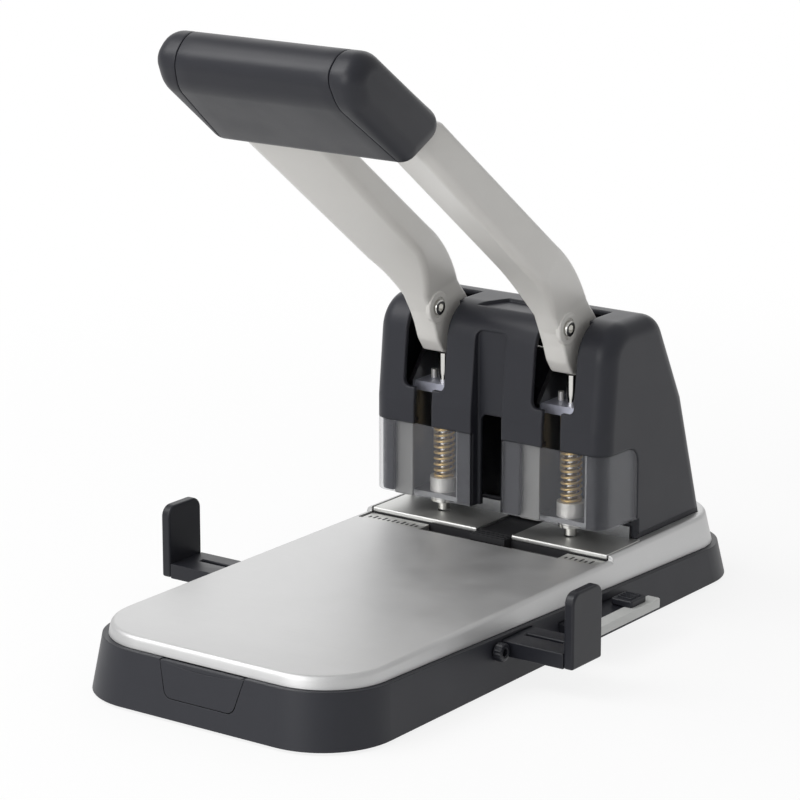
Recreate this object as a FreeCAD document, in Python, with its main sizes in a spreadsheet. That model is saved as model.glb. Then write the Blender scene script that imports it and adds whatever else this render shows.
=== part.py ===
import FreeCAD, Part
import Sketcher
import math
import os

# A lever operated two-hole paper punch with its assembly of casings, frames, pins and guides.
# Frame: origin on the floor midway between the punch pins, X to the right, Y to the rear, Z up.
# Lengths are millimetres and angles are degrees.

SIZES = {
    # punching geometry
    "hole_spacing": 80.0, "pin_radius": 3.25, "pin_fit": 0.05, "pin_tip_z": 38.3, "pin_head_z": 123.55,
    # base
    "foot_height": 1.5, "foot_front_inset": 20.6, "foot_depth": 20.0, "foot_side_inset": 28.5,
    "rear_foot_front": 34.0, "rear_foot_rear": 78.0, "foot_corner": 8.0, "base_half_width": 84.5,
    "base_front": 258.6, "base_rear": 110.0, "base_corner": 38.0, "draft_side": 4.0, "draft_front": 5.6,
    "draft_rear": 8.0, "table_z": 35.0, "rim_front_z": 29.0, "rim_rear_z": 19.0, "tray_wall": 4.8,
    "tray_floor": 2.5, "cover_wall": 1.2, "cover_inset": 3.0, "cover_edge": 2.2, "joint_gap": 0.3,
    "fit_gap": 0.1,
    # die section
    "well_inset": 10.2, "well_front": 30.0, "well_rear": 14.5, "frame_well_half": 64.0,
    "frame_well_rear": 60.0, "plate_top_z": 37.5, "plate_thick": 2.6, "plate_front": 18.0,
    "plate_rear": 14.0, "plate_inner_left": 7.0, "plate_inner_right": 15.0, "plate_inset": 11.0,
    "plate_edge": 0.9, "carrier_floor": 2.0, "tongue_front": 24.0, "tongue_top_z": 36.2,
    "tongue_rib": 1.2, "die_radius": 7.0, "die_relief": 0.9, "die_land": 3.0, "screw_head_radius": 2.8,
    "screw_radius": 1.5, "screw_head_height": 1.6,
    # steel chassis under the cover
    "chassis_z": 26.0, "chassis_thick": 3.0, "chassis_inset": 16.5, "chassis_front": 56.0,
    "chassis_rear": 82.0, "chassis_corner": 16.0, "post_radius": 5.0, "post_x_near": 34.0,
    "post_inset": 24.5, "post_y_front": 46.0, "post_y_mid": 38.0, "post_y_rear": 70.0,
    "chip_hole_radius": 5.0,
    # chip chute and drawer
    "drawer_half_width": 19.0, "drawer_low_z": 12.0, "drawer_wall": 1.5, "drawer_rear": 17.0,
    "drawer_top_z": 21.5, "drawer_inlet_z": 15.5, "drawer_inlet_front": 14.0, "rail_near": 13.0,
    "rail_far": 16.0, "drawer_gap": 0.3, "tab_half_top": 25.0, "tab_half_low": 20.0, "tab_low_z": 11.5,
    "tab_top_z": 28.4, "tab_thick": 3.0, "tab_gap": 0.4, "tab_scoop": 2.0, "tab_lip": 1.6,
    "tab_corner": 4.5, "chute_half_length": 49.0, "chute_half_depth": 8.5, "chute_duct": 5.5,
    "chute_outlet_x": 12.5, "chute_low_z": 16.0,
    # punch frames
    "cheek_gap": 28.0, "cheek_thick": 2.5, "frame_foot_y": 16.0, "frame_rear": 56.0,
    "frame_rear_z": 60.0, "frame_mid_rear": 44.0, "frame_mid_z": 100.0, "frame_web_y": 34.0,
    "frame_web_top_z": 110.0, "frame_front": 9.0, "frame_top_z": 146.0, "frame_top_y": 28.0,
    "frame_head_y": 4.0, "frame_head_z": 124.0, "frame_screw_front": 22.0, "frame_screw_rear": 50.0,
    "bridge_z": 46.2, "bridge_thick": 2.5, "collar_radius": 7.5, "collar_top_z": 56.3,
    "spigot_radius": 4.6, "stripper_radius": 6.8, "throat_top_z": 43.0, "guide_bar_z": 103.0,
    "guide_bar_thick": 5.0, "guide_bar_front": 7.5, "guide_bar_rear": 24.0, "bar_screw_x": 9.2,
    "bar_screw_y": 3.6, "bar_screw_radius": 1.65, "bar_screw_height": 4.5, "stop_y": 12.2,
    "stop_thick": 1.8, "stop_inset": 16.5,
    # springs
    "spring_radius": 5.0, "wire_radius": 0.7, "spring_turns": 7.0, "clip_z": 94.0, "clip_thick": 1.6,
    "clip_radius": 6.0,
    # lever
    "pivot_y": 16.0, "pivot_z": 134.0, "shaft_radius": 5.0, "shaft_overhang": 5.0, "shaft_fit": 0.05,
    "shaft_clip_radius": 7.5, "shaft_clip_thick": 1.2, "bush_radius": 7.0, "ear_radius": 11.5,
    "arm_half_thick": 7.0, "contact_z": 124.0, "raise_angle": 17.0, "press_angle": 20.0,
    "tip_front_y": 9.5, "tip_front_z": 127.2, "root_y": 22.5, "root_z": 149.5, "knee_y": 37.5,
    "knee_z": 169.0, "knee_angle": 20.0, "root_depth": 35.0, "knee_depth": 29.5, "arm_depth": 25.0,
    "arm_end_depth": 21.4, "root_cant": 2.0, "knee_cant": 5.0, "arm_cant": 8.2, "arm_end_cant": 9.4,
    "arm_inner_x": 22.5, "arm_outer_x": 53.0, "arm_end_inner_x": 20.0, "arm_end_outer_x": 57.0,
    "knee_inner_x": 27.0, "knee_outer_x": 51.0, "arm_bend_length": 18.0, "arm_length": 139.4,
    "arm_round": 3.0, "boss_y": 16.5, "boss_z": 152.0, "boss_radius": 9.2, "boss_height": 0.9,
    "arm_screw_radius": 4.3, "arm_screw_height": 1.6,
    # grip, in its own frame: along the arm from its rear end to the nose, and square to it
    "grip_start": 3.06, "grip_drop": 8.51, "grip_angle": 38.0, "grip_length": 80.0, "grip_thick": 30.0,
    "grip_nose_thick": 26.0, "grip_half_width": 57.5, "seam_nose": 46.0, "seam_rear": 53.5,
    "grip_under": 9.0, "grip_wall": 3.0, "grip_side_wall": 6.0, "nose_radius": 12.5, "seam_gap": 0.2,
    "tang_length": 34.0, "tang_half_thick": 6.0, "tang_half_width": 9.0, "core_width": 16.0,
    # housing
    "house_inset": 12.0, "house_front": 20.0, "house_top_z": 154.0, "house_top_rear": 33.5,
    "house_back_round": 16.0, "house_knee_y": 58.5, "house_knee_z": 106.0, "house_foot_rear": 81.0,
    "house_wall": 2.5, "house_low_wall": 4.8, "house_step_z": 90.5, "house_corner": 9.0,
    "house_wall_top": 45.7, "house_throat_wall": 1.6, "house_throat_y": 14.0, "front_lean_z": 100.0,
    "front_lean": 5.4, "front_round": 20.0, "foot_step": 1.2, "foot_step_height": 3.0,
    "guard_low_z": 49.0, "guard_top_z": 88.0, "guard_rear": 12.0, "guard_thick": 2.0, "guard_gap": 0.3,
    "guard_inner": 10.0, "guard_corner": 9.0, "slot_half": 13.0, "slot_low_z": 107.6,
    "slot_corner": 4.0, "slot_depth": 9.0, "slot_top_depth": 18.0, "channel_half": 5.7,
    "window_half": 20.5, "top_slot_half": 11.0, "top_slot_rear": 19.5, "recess_half": 9.6,
    "recess_depth": 7.0, "recess_top_z": 143.0, "door_half": 8.0, "door_top_z": 98.0,
    "pocket_front": 3.0, "pocket_rear": 14.0, "pocket_half_front": 17.0, "pocket_half_rear": 9.0,
    "pocket_depth": 1.6, "panel_half_width": 50.5, "panel_low_z": 50.0, "panel_high_z": 98.0,
    "panel_thick": 1.2, "panel_ledge": 3.5,
    # paper guides
    "guide_y": 112.0, "guide_half_depth": 13.0, "guide_low_z": 15.5, "guide_high_z": 23.5,
    "guide_reach": 85.2, "fence_stand_left": 41.0, "fence_stand_right": 32.5, "fence_thick": 5.5,
    "fence_low_z": 15.8, "fence_top_z": 54.0, "fence_corner": 6.0, "sleeve_length": 28.0,
    "sleeve_inset": 10.5, "sleeve_wall": 1.8, "guide_channel": 3.0, "channel_start": 31.0,
    "channel_end": 9.0, "lock_y": 130.3, "lock_z": 19.5, "lock_radius": 4.6, "lock_head": 4.5,
    "lock_length": 12.0,
    # format slide
    "slide_front": 76.0, "slide_rear": 12.5, "slide_low_z": 14.0, "slide_thick": 4.6,
    "slide_reach": 18.5, "slide_tail": 32.5, "slide_stop_front": 36.0, "slide_stop_rear": 22.0,
    "slide_stop_height": 4.0, "slide_stop_gap": 3.0, "slide_stop_width": 12.5, "slide_in": 4.0,
}

doc = FreeCAD.newDocument("HolePunch")


def fill_sheet():
    """Write every driving size into the spreadsheet under its own alias."""
    cells = doc.addObject("Spreadsheet::Sheet", "Sizes")
    for row, (alias, size) in enumerate(SIZES.items(), start=1):
        cells.set(f"A{row}", alias)
        cells.set(f"B{row}", repr(size))
        cells.setAlias(f"B{row}", alias)
    doc.recompute()
    return cells


sheet = fill_sheet()


class Size:
    """A length with its present value and the sheet expression that it comes from."""

    def __init__(self, text, number):
        self.text = text
        self.number = number

    def __add__(self, other):
        other = as_size(other)
        return Size(f"({self.text} + {other.text})", self.number + other.number)

    def __sub__(self, other):
        other = as_size(other)
        return Size(f"({self.text} - {other.text})", self.number - other.number)

    def __mul__(self, other):
        other = as_size(other)
        return Size(f"({self.text} * {other.text})", self.number * other.number)

    def __truediv__(self, other):
        other = as_size(other)
        return Size(f"({self.text} / {other.text})", self.number / other.number)

    def __rsub__(self, other):
        return as_size(other) - self

    def __neg__(self):
        return Size(f"(0 - {self.text})", -self.number)

    __radd__ = __add__
    __rmul__ = __mul__


def as_size(item):
    """Give a plain number the same form as a size from the sheet."""
    return item if isinstance(item, Size) else Size(f"({item!r})", float(item))


class Sheet:
    """Reads sizes from the sheet by name."""

    def __getattr__(self, alias):
        return Size(f"Sizes.{alias}", float(sheet.get(alias)))


s = Sheet()
SIDES = (("left", -1), ("right", 1))
BIG = 400.0

# sizes that follow the base's width and length
s.foot_front = s.base_front - s.foot_front_inset
s.foot_half_width = s.base_half_width - s.foot_side_inset
s.well_half_width = s.base_half_width - s.well_inset
s.plate_outer = s.base_half_width - s.plate_inset
s.chassis_half_width = s.base_half_width - s.chassis_inset
s.post_x_far = s.base_half_width - s.post_inset
s.stop_half_width = s.base_half_width - s.stop_inset
s.house_half_width = s.base_half_width - s.house_inset
s.sleeve_outer = s.base_half_width - s.sleeve_inset
s.sleeve_inner = s.sleeve_outer - s.sleeve_length
s.slide_outer = s.base_half_width + s.slide_reach
s.slide_inner = s.base_half_width - s.slide_tail
s.slide_stop_inner = s.base_half_width + s.slide_stop_gap
s.slide_stop_outer = s.slide_stop_inner + s.slide_stop_width
s.fence_inner_left = s.base_half_width + s.fence_stand_left
s.fence_inner_right = s.base_half_width + s.fence_stand_right


def bind(item, path, size):
    """Bind one property of an object to the sheet."""
    item.setExpression(path, as_size(size).text)


def put(item, x=0, y=0, z=0):
    """Bind the place of an object."""
    for axis, size in zip("xyz", (x, y, z)):
        bind(item, f"Placement.Base.{axis}", size)
    return item


def span(side, near, far):
    """Low and high X of a stretch that lies between two distances from the middle plane."""
    return (near, far) if side > 0 else (-as_size(far), -as_size(near))


def box(name, x, y, z):
    """A block from its low and high corners."""
    item = doc.addObject("Part::Box", name)
    for prop, (low, high) in zip(("Length", "Width", "Height"), (x, y, z)):
        bind(item, prop, as_size(high) - low)
    return put(item, x[0], y[0], z[0])


AXIS_TURNS = {
    "x": FreeCAD.Rotation(FreeCAD.Vector(0, 1, 0), 90),
    "y": FreeCAD.Rotation(FreeCAD.Vector(1, 0, 0), -90),
    "z": FreeCAD.Rotation(),
}


def rod(name, radius, length, x, y, z, axis="z"):
    """A cylinder that starts at a point and runs along one axis."""
    item = doc.addObject("Part::Cylinder", name)
    bind(item, "Radius", radius)
    bind(item, "Height", length)
    item.Placement = FreeCAD.Placement(FreeCAD.Vector(), AXIS_TURNS[axis])
    return put(item, x, y, z)


def plane_of(body, role):
    """An origin plane of a body."""
    return next(item for item in body.Origin.OriginFeatures if item.Role == role)


def outline_sketch(body, name, role, points, offset=0):
    """A closed polygon in a body's own plane, with each corner bound to the sheet."""
    sketch = body.newObject("Sketcher::SketchObject", name)
    sketch.AttachmentSupport = [(plane_of(body, role), "")]
    sketch.MapMode = "FlatFace"
    corners = [FreeCAD.Vector(as_size(u).number, as_size(v).number, 0) for u, v in points]
    count = len(corners)
    for index, corner in enumerate(corners):
        sketch.addGeometry(Part.LineSegment(corner, corners[(index + 1) % count]), False)
    start, end = 1, 2
    for index in range(count):
        following = (index + 1) % count
        sketch.addConstraint(Sketcher.Constraint("Coincident", index, end, following, start))
    for index, (u, v) in enumerate(points):
        for kind, size in (("DistanceX", u), ("DistanceY", v)):
            size = as_size(size)
            number = sketch.addConstraint(Sketcher.Constraint(kind, index, start, size.number))
            sketch.setExpression(f"Constraints[{number}]", size.text)
    bind(sketch, "AttachmentOffset.Base.z", offset)
    return sketch


def prism(name, role, points, low, high):
    """A body padded from a polygon between two distances along the plane's axis."""
    body = doc.addObject("PartDesign::Body", name)
    # the XZ plane's own normal points to -Y, so its offsets change sign
    start = -as_size(high) if role == "XZ_Plane" else low
    sketch = outline_sketch(body, name + "_outline", role, points, start)
    pad = body.newObject("PartDesign::Pad", name + "_pad")
    pad.Profile = sketch
    bind(pad, "Length", as_size(high) - low)
    sketch.Visibility = False
    return body


def join(name, items):
    """One solid from pieces that touch or overlap."""
    fuse = doc.addObject("Part::MultiFuse", name)
    fuse.Shapes = items
    fuse.Refine = True
    return fuse


def cut(name, base, tools):
    """A piece with one or more tools taken out of it."""
    if len(tools) > 1:
        tool = doc.addObject("Part::MultiFuse", name + "_tools")
        tool.Shapes = tools
    else:
        tool = tools[0]
    item = doc.addObject("Part::Cut", name)
    item.Base = base
    item.Tool = tool
    item.Refine = True
    return item


def overlap(name, base, tool):
    """What two pieces have in common."""
    item = doc.addObject("Part::Common", name)
    item.Base = base
    item.Tool = tool
    item.Refine = True
    return item


def group(name, items):
    """Separate like solids in one node."""
    item = doc.addObject("Part::Compound", name)
    item.Links = items
    return item


def round_edges(name, base, radius, chosen):
    """A piece with the edges that a test picks rounded to one radius."""
    doc.recompute()
    item = doc.addObject("Part::Fillet", name)
    item.Base = base
    size = as_size(radius).number
    item.Edges = [(number, size, size) for number, edge in enumerate(base.Shape.Edges, start=1)
                  if chosen(edge)]
    return item


def along(edge, axis):
    """Whether an edge is straight and runs mostly along an axis."""
    ends = [vertex.Point for vertex in edge.Vertexes]
    if len(ends) != 2:
        return False
    run = ends[1] - ends[0]
    return abs(edge.Length - run.Length) < 0.0001 and abs(run[axis]) > 0.8 * run.Length


def feature(name, shape, place=None):
    """A sub-part whose shape is made with Part's own functions."""
    item = doc.addObject("Part::Feature", name)
    item.Shape = shape
    if place is not None:
        item.Placement = place
    return item


KEPT = []


def keep(*items):
    """Mark finished sub-parts, whose labels name their files."""
    KEPT.extend(items)


# ---------------------------------------------------------------- base

def base_outline(level, inset):
    """The base's rounded outline at one height, moved in by an inset."""
    share = (level - s.foot_height.number) / (s.table_z - s.foot_height).number
    half = s.base_half_width.number - s.draft_side.number * share - inset
    front = -(s.base_front.number - s.draft_front.number * share - inset)
    rear = s.base_rear.number - s.draft_rear.number * share - inset
    corners = [FreeCAD.Vector(x, y, level)
               for x, y in ((-half, front), (half, front), (half, rear), (-half, rear))]
    return rounded_wire(corners, s.base_corner.number - inset)


def base_form(name, inset, low, high, top_round=0):
    """The drafted base block with rounded corners and, if asked, a rounded top edge."""
    inset, low, high, radius = (as_size(item).number for item in (inset, low, high, top_round))
    sections = [base_outline(low, inset)]
    if radius:
        for step in range(5):
            turn = math.radians(90 * step / 4)
            sections.append(base_outline(high - radius + radius * math.sin(turn),
                                         inset + radius * (1 - math.cos(turn))))
    else:
        sections.append(base_outline(high, inset))
    return feature(name, Part.makeLoft(sections, True, True))


def rim_z(y):
    """Height of the slanted parting line at one Y."""
    slope = (s.rim_front_z - s.rim_rear_z) / (s.base_front + s.base_rear)
    return s.rim_rear_z + (s.base_rear - y) * slope


def rim_wedge(name, other_z):
    """Everything on one side of the parting plane, up or down to a given height."""
    front, rear = -BIG, BIG
    points = [(front, rim_z(front)), (rear, rim_z(rear)), (rear, other_z), (front, other_z)]
    return prism(name, "YZ_Plane", points, -BIG, BIG)


def guide_port(name, side):
    """The opening for a paper guide's arm."""
    y = (-s.guide_y - s.guide_half_depth - s.joint_gap, -s.guide_y + s.guide_half_depth + s.joint_gap)
    z = (s.guide_low_z - s.joint_gap, s.guide_high_z + s.joint_gap)
    return box(name, span(side, s.sleeve_outer, s.base_half_width + 10), y, z)


def slide_port(name):
    """The opening for the format slide."""
    z = (s.slide_low_z - s.joint_gap, s.slide_low_z + s.slide_thick + s.joint_gap)
    y = (-s.slide_front - s.joint_gap, -s.slide_rear + s.joint_gap)
    return box(name, (s.sleeve_outer, s.base_half_width + 10), y, z)


def tab_outline(gap):
    """Corners of the drawer's tapered front, in X and Z."""
    low = s.tab_low_z - gap
    return [(-s.tab_half_low - gap, low), (s.tab_half_low + gap, low),
            (s.tab_half_top + gap, s.tab_top_z + gap), (-s.tab_half_top - gap, s.tab_top_z + gap)]


POST_SPOTS = [("near", "post_x_near", "post_y_front", -1), ("middle", "post_x_far", "post_y_mid", 1),
              ("rear", "post_x_far", "post_y_rear", 1)]


def post_places():
    """The six posts that carry the chassis."""
    for tag, x_name, y_name, sign in POST_SPOTS:
        for side_name, side in SIDES:
            yield f"{tag}_{side_name}", getattr(s, x_name) * side, getattr(s, y_name) * sign


def tray_supports():
    """Posts, rails and pillars that stand on the tray's floor."""
    floor = s.foot_height + s.tray_floor / 2
    items = []
    for tag, x, y in post_places():
        items.append(rod(f"tray_post_{tag}", s.post_radius, s.chassis_z - floor, x, y, floor))
    for side_name, side in SIDES:
        rail_y = (-s.base_front + s.tray_wall, s.drawer_rear)
        items.append(box(f"tray_rail_{side_name}", span(side, s.rail_near, s.rail_far), rail_y,
                         (floor, s.drawer_low_z - s.drawer_gap)))
        depth = s.guide_half_depth + s.sleeve_wall + s.joint_gap
        items.append(box(f"tray_pillar_{side_name}", span(side, s.sleeve_inner + 4, s.sleeve_outer),
                         (-s.guide_y - depth, -s.guide_y + depth),
                         (floor, s.guide_low_z - s.joint_gap - s.sleeve_wall)))
    for tag, y in (("front", -s.slide_front + 3), ("rear", -s.slide_rear - 6)):
        items.append(box(f"slide_rib_{tag}", (s.slide_inner - s.slide_in, s.base_half_width - 4),
                         (y, y + 3), (floor, s.slide_low_z - s.joint_gap)))
    return items


def tab_prism(name, gap, y):
    """The drawer's tapered front with its lower corners rounded."""
    points = tab_outline(gap)
    if gap != 0:
        low_left, low_right, high_right, high_left = points
        points = [low_left, low_right, high_right, (high_right[0], s.table_z),
                  (high_left[0], s.table_z), high_left]
    floor = (s.tab_low_z - gap).number + 0.01
    return round_edges(name + "_rounded", prism(name, "XZ_Plane", points, *y), s.tab_corner + gap,
                       lambda edge: along(edge, 1) and edge.Vertexes[0].Point.z < floor)


def make_tray():
    """The moulded bottom tray."""
    top = s.table_z + 2
    outer = base_form("tray_outer", 0, s.foot_height, s.table_z)
    cavity = base_form("tray_cavity", s.tray_wall, s.foot_height + s.tray_floor, top)
    shell = cut("tray_shell", outer, [cavity, rim_wedge("tray_rim", BIG)])
    body = join("tray_body", [shell] + tray_supports())
    tools = [tab_prism("tab_port", s.tab_gap, (-s.base_front - 5, -s.base_front + 14)),
             slide_port("tray_slide_port")]
    for side_name, side in SIDES:
        tools.append(guide_port(f"tray_guide_port_{side_name}", side))
        tools.append(rod(f"lock_hole_{side_name}", s.screw_radius + s.fit_gap, s.lock_length,
                         *lock_start(side), axis="x"))
    for tag, x, y in post_places():
        tools.append(rod(f"post_hole_{tag}", s.screw_radius + s.fit_gap, s.chassis_z - 6, x, y, 8))
    tray = cut("base_tray", body, tools)
    keep(tray)


def side_x(level):
    """X of the base's drafted side wall at one height."""
    return s.base_half_width - s.draft_side * (as_size(level) - s.foot_height) / (s.table_z - s.foot_height)


def lock_start(side):
    """Where a guide's lock screw bore starts, at its lower X end."""
    x = s.base_half_width - s.lock_length + 1 if side > 0 else -s.base_half_width - 1
    return x, -s.lock_y, s.lock_z


def make_feet():
    """Rubber pads under the tray."""
    pads = (("front", s.foot_half_width, -s.foot_front, -s.foot_front + s.foot_depth),
            ("rear", s.foot_half_width, -s.rear_foot_front, s.rear_foot_rear))
    for tag, half, y0, y1 in pads:
        block = box(f"pad_{tag}_block", (-half, half), (y0, y1), (0, s.foot_height))
        keep(round_edges(f"foot_pad_{tag}", block, s.foot_corner, lambda edge: along(edge, 2)))


def make_cover():
    """The satin steel table that closes the tray."""
    step_y = -s.plate_front
    low = base_form("cover_low", s.cover_inset, s.foot_height, s.table_z, s.cover_edge)
    high = base_form("cover_high", s.cover_inset, s.foot_height, s.plate_top_z, s.cover_edge)
    front = overlap("cover_front", low, box("cover_front_half", (-BIG, BIG), (-BIG, step_y), (0, BIG)))
    deck = overlap("cover_deck", high, box("cover_deck_half", (-BIG, BIG), (step_y, BIG), (0, BIG)))
    outer = join("cover_outer", [front, deck])
    cavity = base_form("cover_cavity", s.cover_inset + s.cover_wall, 0, s.table_z - s.cover_wall)
    through = (s.table_z - 5, s.table_z + 5)
    tools = [cavity, rim_wedge("cover_rim", -BIG),
             box("die_well", (-s.well_half_width, s.well_half_width), (-s.well_front, s.well_rear), through),
             box("frame_well", (-s.frame_well_half, s.frame_well_half), (0, s.frame_well_rear), through)]
    for side_name, side in SIDES:
        tools.append(guide_port(f"cover_guide_port_{side_name}", side))
    keep(cut("table_cover", outer, tools))


def make_chassis():
    """The steel plate that carries the punch frames, and its screws."""
    block = box("chassis_block", (-s.chassis_half_width, s.chassis_half_width),
                (-s.chassis_front, s.chassis_rear), (s.chassis_z, s.chassis_z + s.chassis_thick))
    plate = round_edges("chassis_rounded", block, s.chassis_corner, lambda edge: along(edge, 2))
    tools = []
    screws = []
    for tag, x, y in post_places():
        tools.append(rod(f"chassis_hole_{tag}", s.screw_radius + s.fit_gap, 10, x, y, s.chassis_z - 3))
        screws.append(screw(f"chassis_screw_{tag}", x, y, s.chassis_z + s.chassis_thick, 14))
    for side_name, side in SIDES:
        tools.append(rod(f"chip_hole_{side_name}", s.chip_hole_radius, 10, pin_x(side), 0, s.chassis_z - 3))
        for tag, x, y in frame_screw_places(side_name, side):
            tools.append(rod(f"frame_tap_{tag}", s.screw_radius + s.fit_gap, 10, x, y, s.chassis_z - 3))
    keep(cut("chassis_plate", plate, tools))
    keep(group("chassis_screws", screws))


def screw(name, x, y, seat_z, length):
    """A pan-head screw that points down, seated at a given height."""
    shank = rod(name + "_shank", s.screw_radius, length, x, y, as_size(seat_z) - length)
    head = rod(name + "_head", s.screw_head_radius, s.screw_head_height, x, y, seat_z)
    return join(name, [shank, head])


def pin_x(side):
    """X of a punch pin."""
    return s.hole_spacing / 2 * side


# ---------------------------------------------------------------- dies, chute and drawer

def make_dies():
    """The carrier with its two bright die plates, hardened bushes and the paper stop."""
    floor_z = s.chassis_z + s.chassis_thick
    seat_z = s.plate_top_z - s.plate_thick
    half = s.well_half_width - s.joint_gap
    rear = s.plate_rear
    slab = box("carrier_slab", (-half, half), (-s.well_front + s.joint_gap, rear),
               (floor_z, floor_z + s.carrier_floor))
    inner = {"left": s.plate_inner_left, "right": s.plate_inner_right}
    tongue_x = (-s.plate_inner_left + s.joint_gap, s.plate_inner_right - s.joint_gap)
    tongue = box("carrier_tongue", tongue_x,
                 (-s.tongue_front, rear), (floor_z, s.tongue_top_z))
    pads = [box(f"carrier_pad_{side_name}", span(side, inner[side_name], s.plate_outer),
                (-s.plate_front, rear), (floor_z, seat_z)) for side_name, side in SIDES]
    rib_pitch = s.tongue_rib * 2.5
    ribs = []
    for index in range(3):
        start = -s.tongue_front + rib_pitch * (index + 0.5)
        ribs.append(box(f"tongue_rib_{index}", (tongue_x[0] + 1, tongue_x[1] - 1),
                        (start, start + s.tongue_rib), (s.tongue_top_z, s.tongue_top_z + 0.5)))
    carrier = join("carrier_body", [slab, tongue] + pads + ribs)
    seats = []
    for side_name, side in SIDES:
        x = pin_x(side)
        seats.append(rod(f"die_seat_{side_name}", s.die_radius + s.pin_fit, 20, x, 0, floor_z - 5))
    keep(cut("die_carrier", carrier, seats))
    for side_name, side in SIDES:
        x = pin_x(side)
        plate = box(f"plate_block_{side_name}", span(side, inner[side_name], s.plate_outer),
                    (-s.plate_front, s.plate_rear), (seat_z, s.plate_top_z))
        front = -s.plate_front.number
        plate = round_edges(f"plate_rounded_{side_name}", plate, s.plate_edge,
                            lambda edge: along(edge, 0) and edge.Vertexes[0].Point.y < front + 0.01)
        hole = rod(f"plate_hole_{side_name}", s.pin_radius + s.pin_fit, 20, x, 0, floor_z)
        keep(cut(f"die_plate_{side_name}", plate, [hole]))
        bush = rod(f"bush_block_{side_name}", s.die_radius, seat_z - floor_z, x, 0, floor_z)
        land = rod(f"bush_bore_{side_name}", s.pin_radius + s.pin_fit, 20, x, 0, floor_z - 5)
        relief = rod(f"bush_relief_{side_name}", s.pin_radius + s.die_relief,
                     seat_z - s.die_land - floor_z + 5,
                     x, 0, floor_z - 5)
        keep(cut(f"die_bush_{side_name}", bush, [land, relief]))
    keep(box("paper_stop", (-s.stop_half_width, s.stop_half_width), (s.stop_y, s.stop_y + s.stop_thick),
             (s.plate_top_z, s.throat_top_z + 1)))


def make_chute():
    """The chute that leads the chips from both dies to the drawer."""
    low, high = s.chute_low_z, s.chassis_z
    block = box("chute_block", (-s.chute_half_length, s.chute_half_length),
                (-s.chute_half_depth, s.chute_half_depth), (low, high))
    ducts = []
    for side_name, side in SIDES:
        top_x, low_x = pin_x(side), s.chute_outlet_x * side
        points = [(low_x - s.chute_duct, low), (low_x + s.chute_duct, low),
                  (top_x + s.chute_duct, high), (top_x - s.chute_duct, high)]
        ducts.append(prism(f"duct_{side_name}", "XZ_Plane", points, -s.chute_duct, s.chute_duct))
    keep(cut("chip_chute", block, ducts))


def make_drawer():
    """The chip drawer with its tapered pull."""
    half, wall, low = s.drawer_half_width, s.drawer_wall, s.drawer_low_z
    front = -s.base_front + s.draft_front + s.tab_thick
    block = box("drawer_block", (-half, half), (front, s.drawer_rear), (low, s.drawer_top_z))
    hollow = box("drawer_hollow", (-half + wall, half - wall), (front + wall, s.drawer_rear - wall),
                 (low + wall, s.drawer_top_z + 1))
    inlet = box("drawer_inlet", (-half - 1, half + 1), (-s.drawer_inlet_front, s.drawer_rear + 1),
                (s.drawer_inlet_z, s.drawer_top_z + 1))
    keep(cut("chip_drawer", block, [hollow, inlet]))
    slab = tab_prism("tab_slab", 0, (-s.base_front - 5, front))
    face = base_form("tab_face", 0, s.foot_height, s.table_z)
    tab = overlap("tab_trimmed", slab, face)
    scoop_radius = s.tab_half_top * s.tab_half_top / s.tab_scoop / 2
    scoop = rod("tab_scoop_tool", scoop_radius, s.draft_front + s.tab_thick + 5 - s.tab_lip, 0,
                -s.base_front - 5, s.tab_top_z - s.tab_scoop + scoop_radius, axis="y")
    keep(cut("drawer_front", tab, [scoop]))


# ---------------------------------------------------------------- punch frames and pins

def frame_screw_places(side_name, side):
    """The two screws of one punch frame."""
    for tag, y in (("front", s.frame_screw_front), ("rear", s.frame_screw_rear)):
        yield f"{side_name}_{tag}", pin_x(side), y


def make_frames():
    """Bent steel frames that carry the guides and the lever's shaft."""
    floor_z = s.chassis_z + s.chassis_thick
    half, thick = s.cheek_gap / 2, s.cheek_thick
    outline = [(s.frame_foot_y, floor_z), (s.frame_rear, floor_z), (s.frame_rear, s.frame_rear_z),
               (s.frame_mid_rear, s.frame_mid_z), (s.frame_top_y, s.frame_top_z),
               (s.frame_head_y, s.frame_top_z), (s.frame_head_y, s.frame_head_z),
               (-s.frame_front, s.guide_bar_z + s.guide_bar_thick), (-s.frame_front, s.bridge_z),
               (s.frame_foot_y, s.bridge_z)]
    screws = []
    for side_name, side in SIDES:
        x = pin_x(side)
        parts = [prism(f"cheek_{side_name}_{tag}", "YZ_Plane", outline, low, low + thick)
                 for tag, low in (("low", x - half - thick), ("high", x + half))]
        parts.append(box(f"frame_web_{side_name}", (x - half, x + half),
                         (s.frame_web_y, s.frame_web_y + thick), (floor_z, s.frame_web_top_z)))
        parts.append(box(f"frame_foot_{side_name}", (x - half, x + half),
                         (s.frame_foot_y, s.frame_rear), (floor_z, floor_z + thick)))
        body = join(f"frame_body_{side_name}", parts)
        tools = [rod(f"shaft_hole_{side_name}", s.shaft_radius + s.shaft_fit, s.cheek_gap * 2,
                     x - s.cheek_gap, s.pivot_y, s.pivot_z, axis="x")]
        for tag, sx, sy in frame_screw_places(side_name, side):
            tools.append(rod(f"foot_hole_{tag}", s.screw_radius + s.fit_gap, 10, sx, sy, floor_z - 2))
            screws.append(screw(f"frame_screw_{tag}", sx, sy, floor_z + thick, 5))
        keep(cut(f"punch_frame_{side_name}", body, tools))
    keep(group("frame_screws", screws))


def ring(name, outer, inner, length, x, y, z, axis="z"):
    """A plain ring or sleeve."""
    body = rod(name + "_body", outer, length, x, y, z, axis)
    bore = rod(name + "_bore", inner, length, x, y, z, axis)
    return cut(name, body, [bore])


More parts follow.
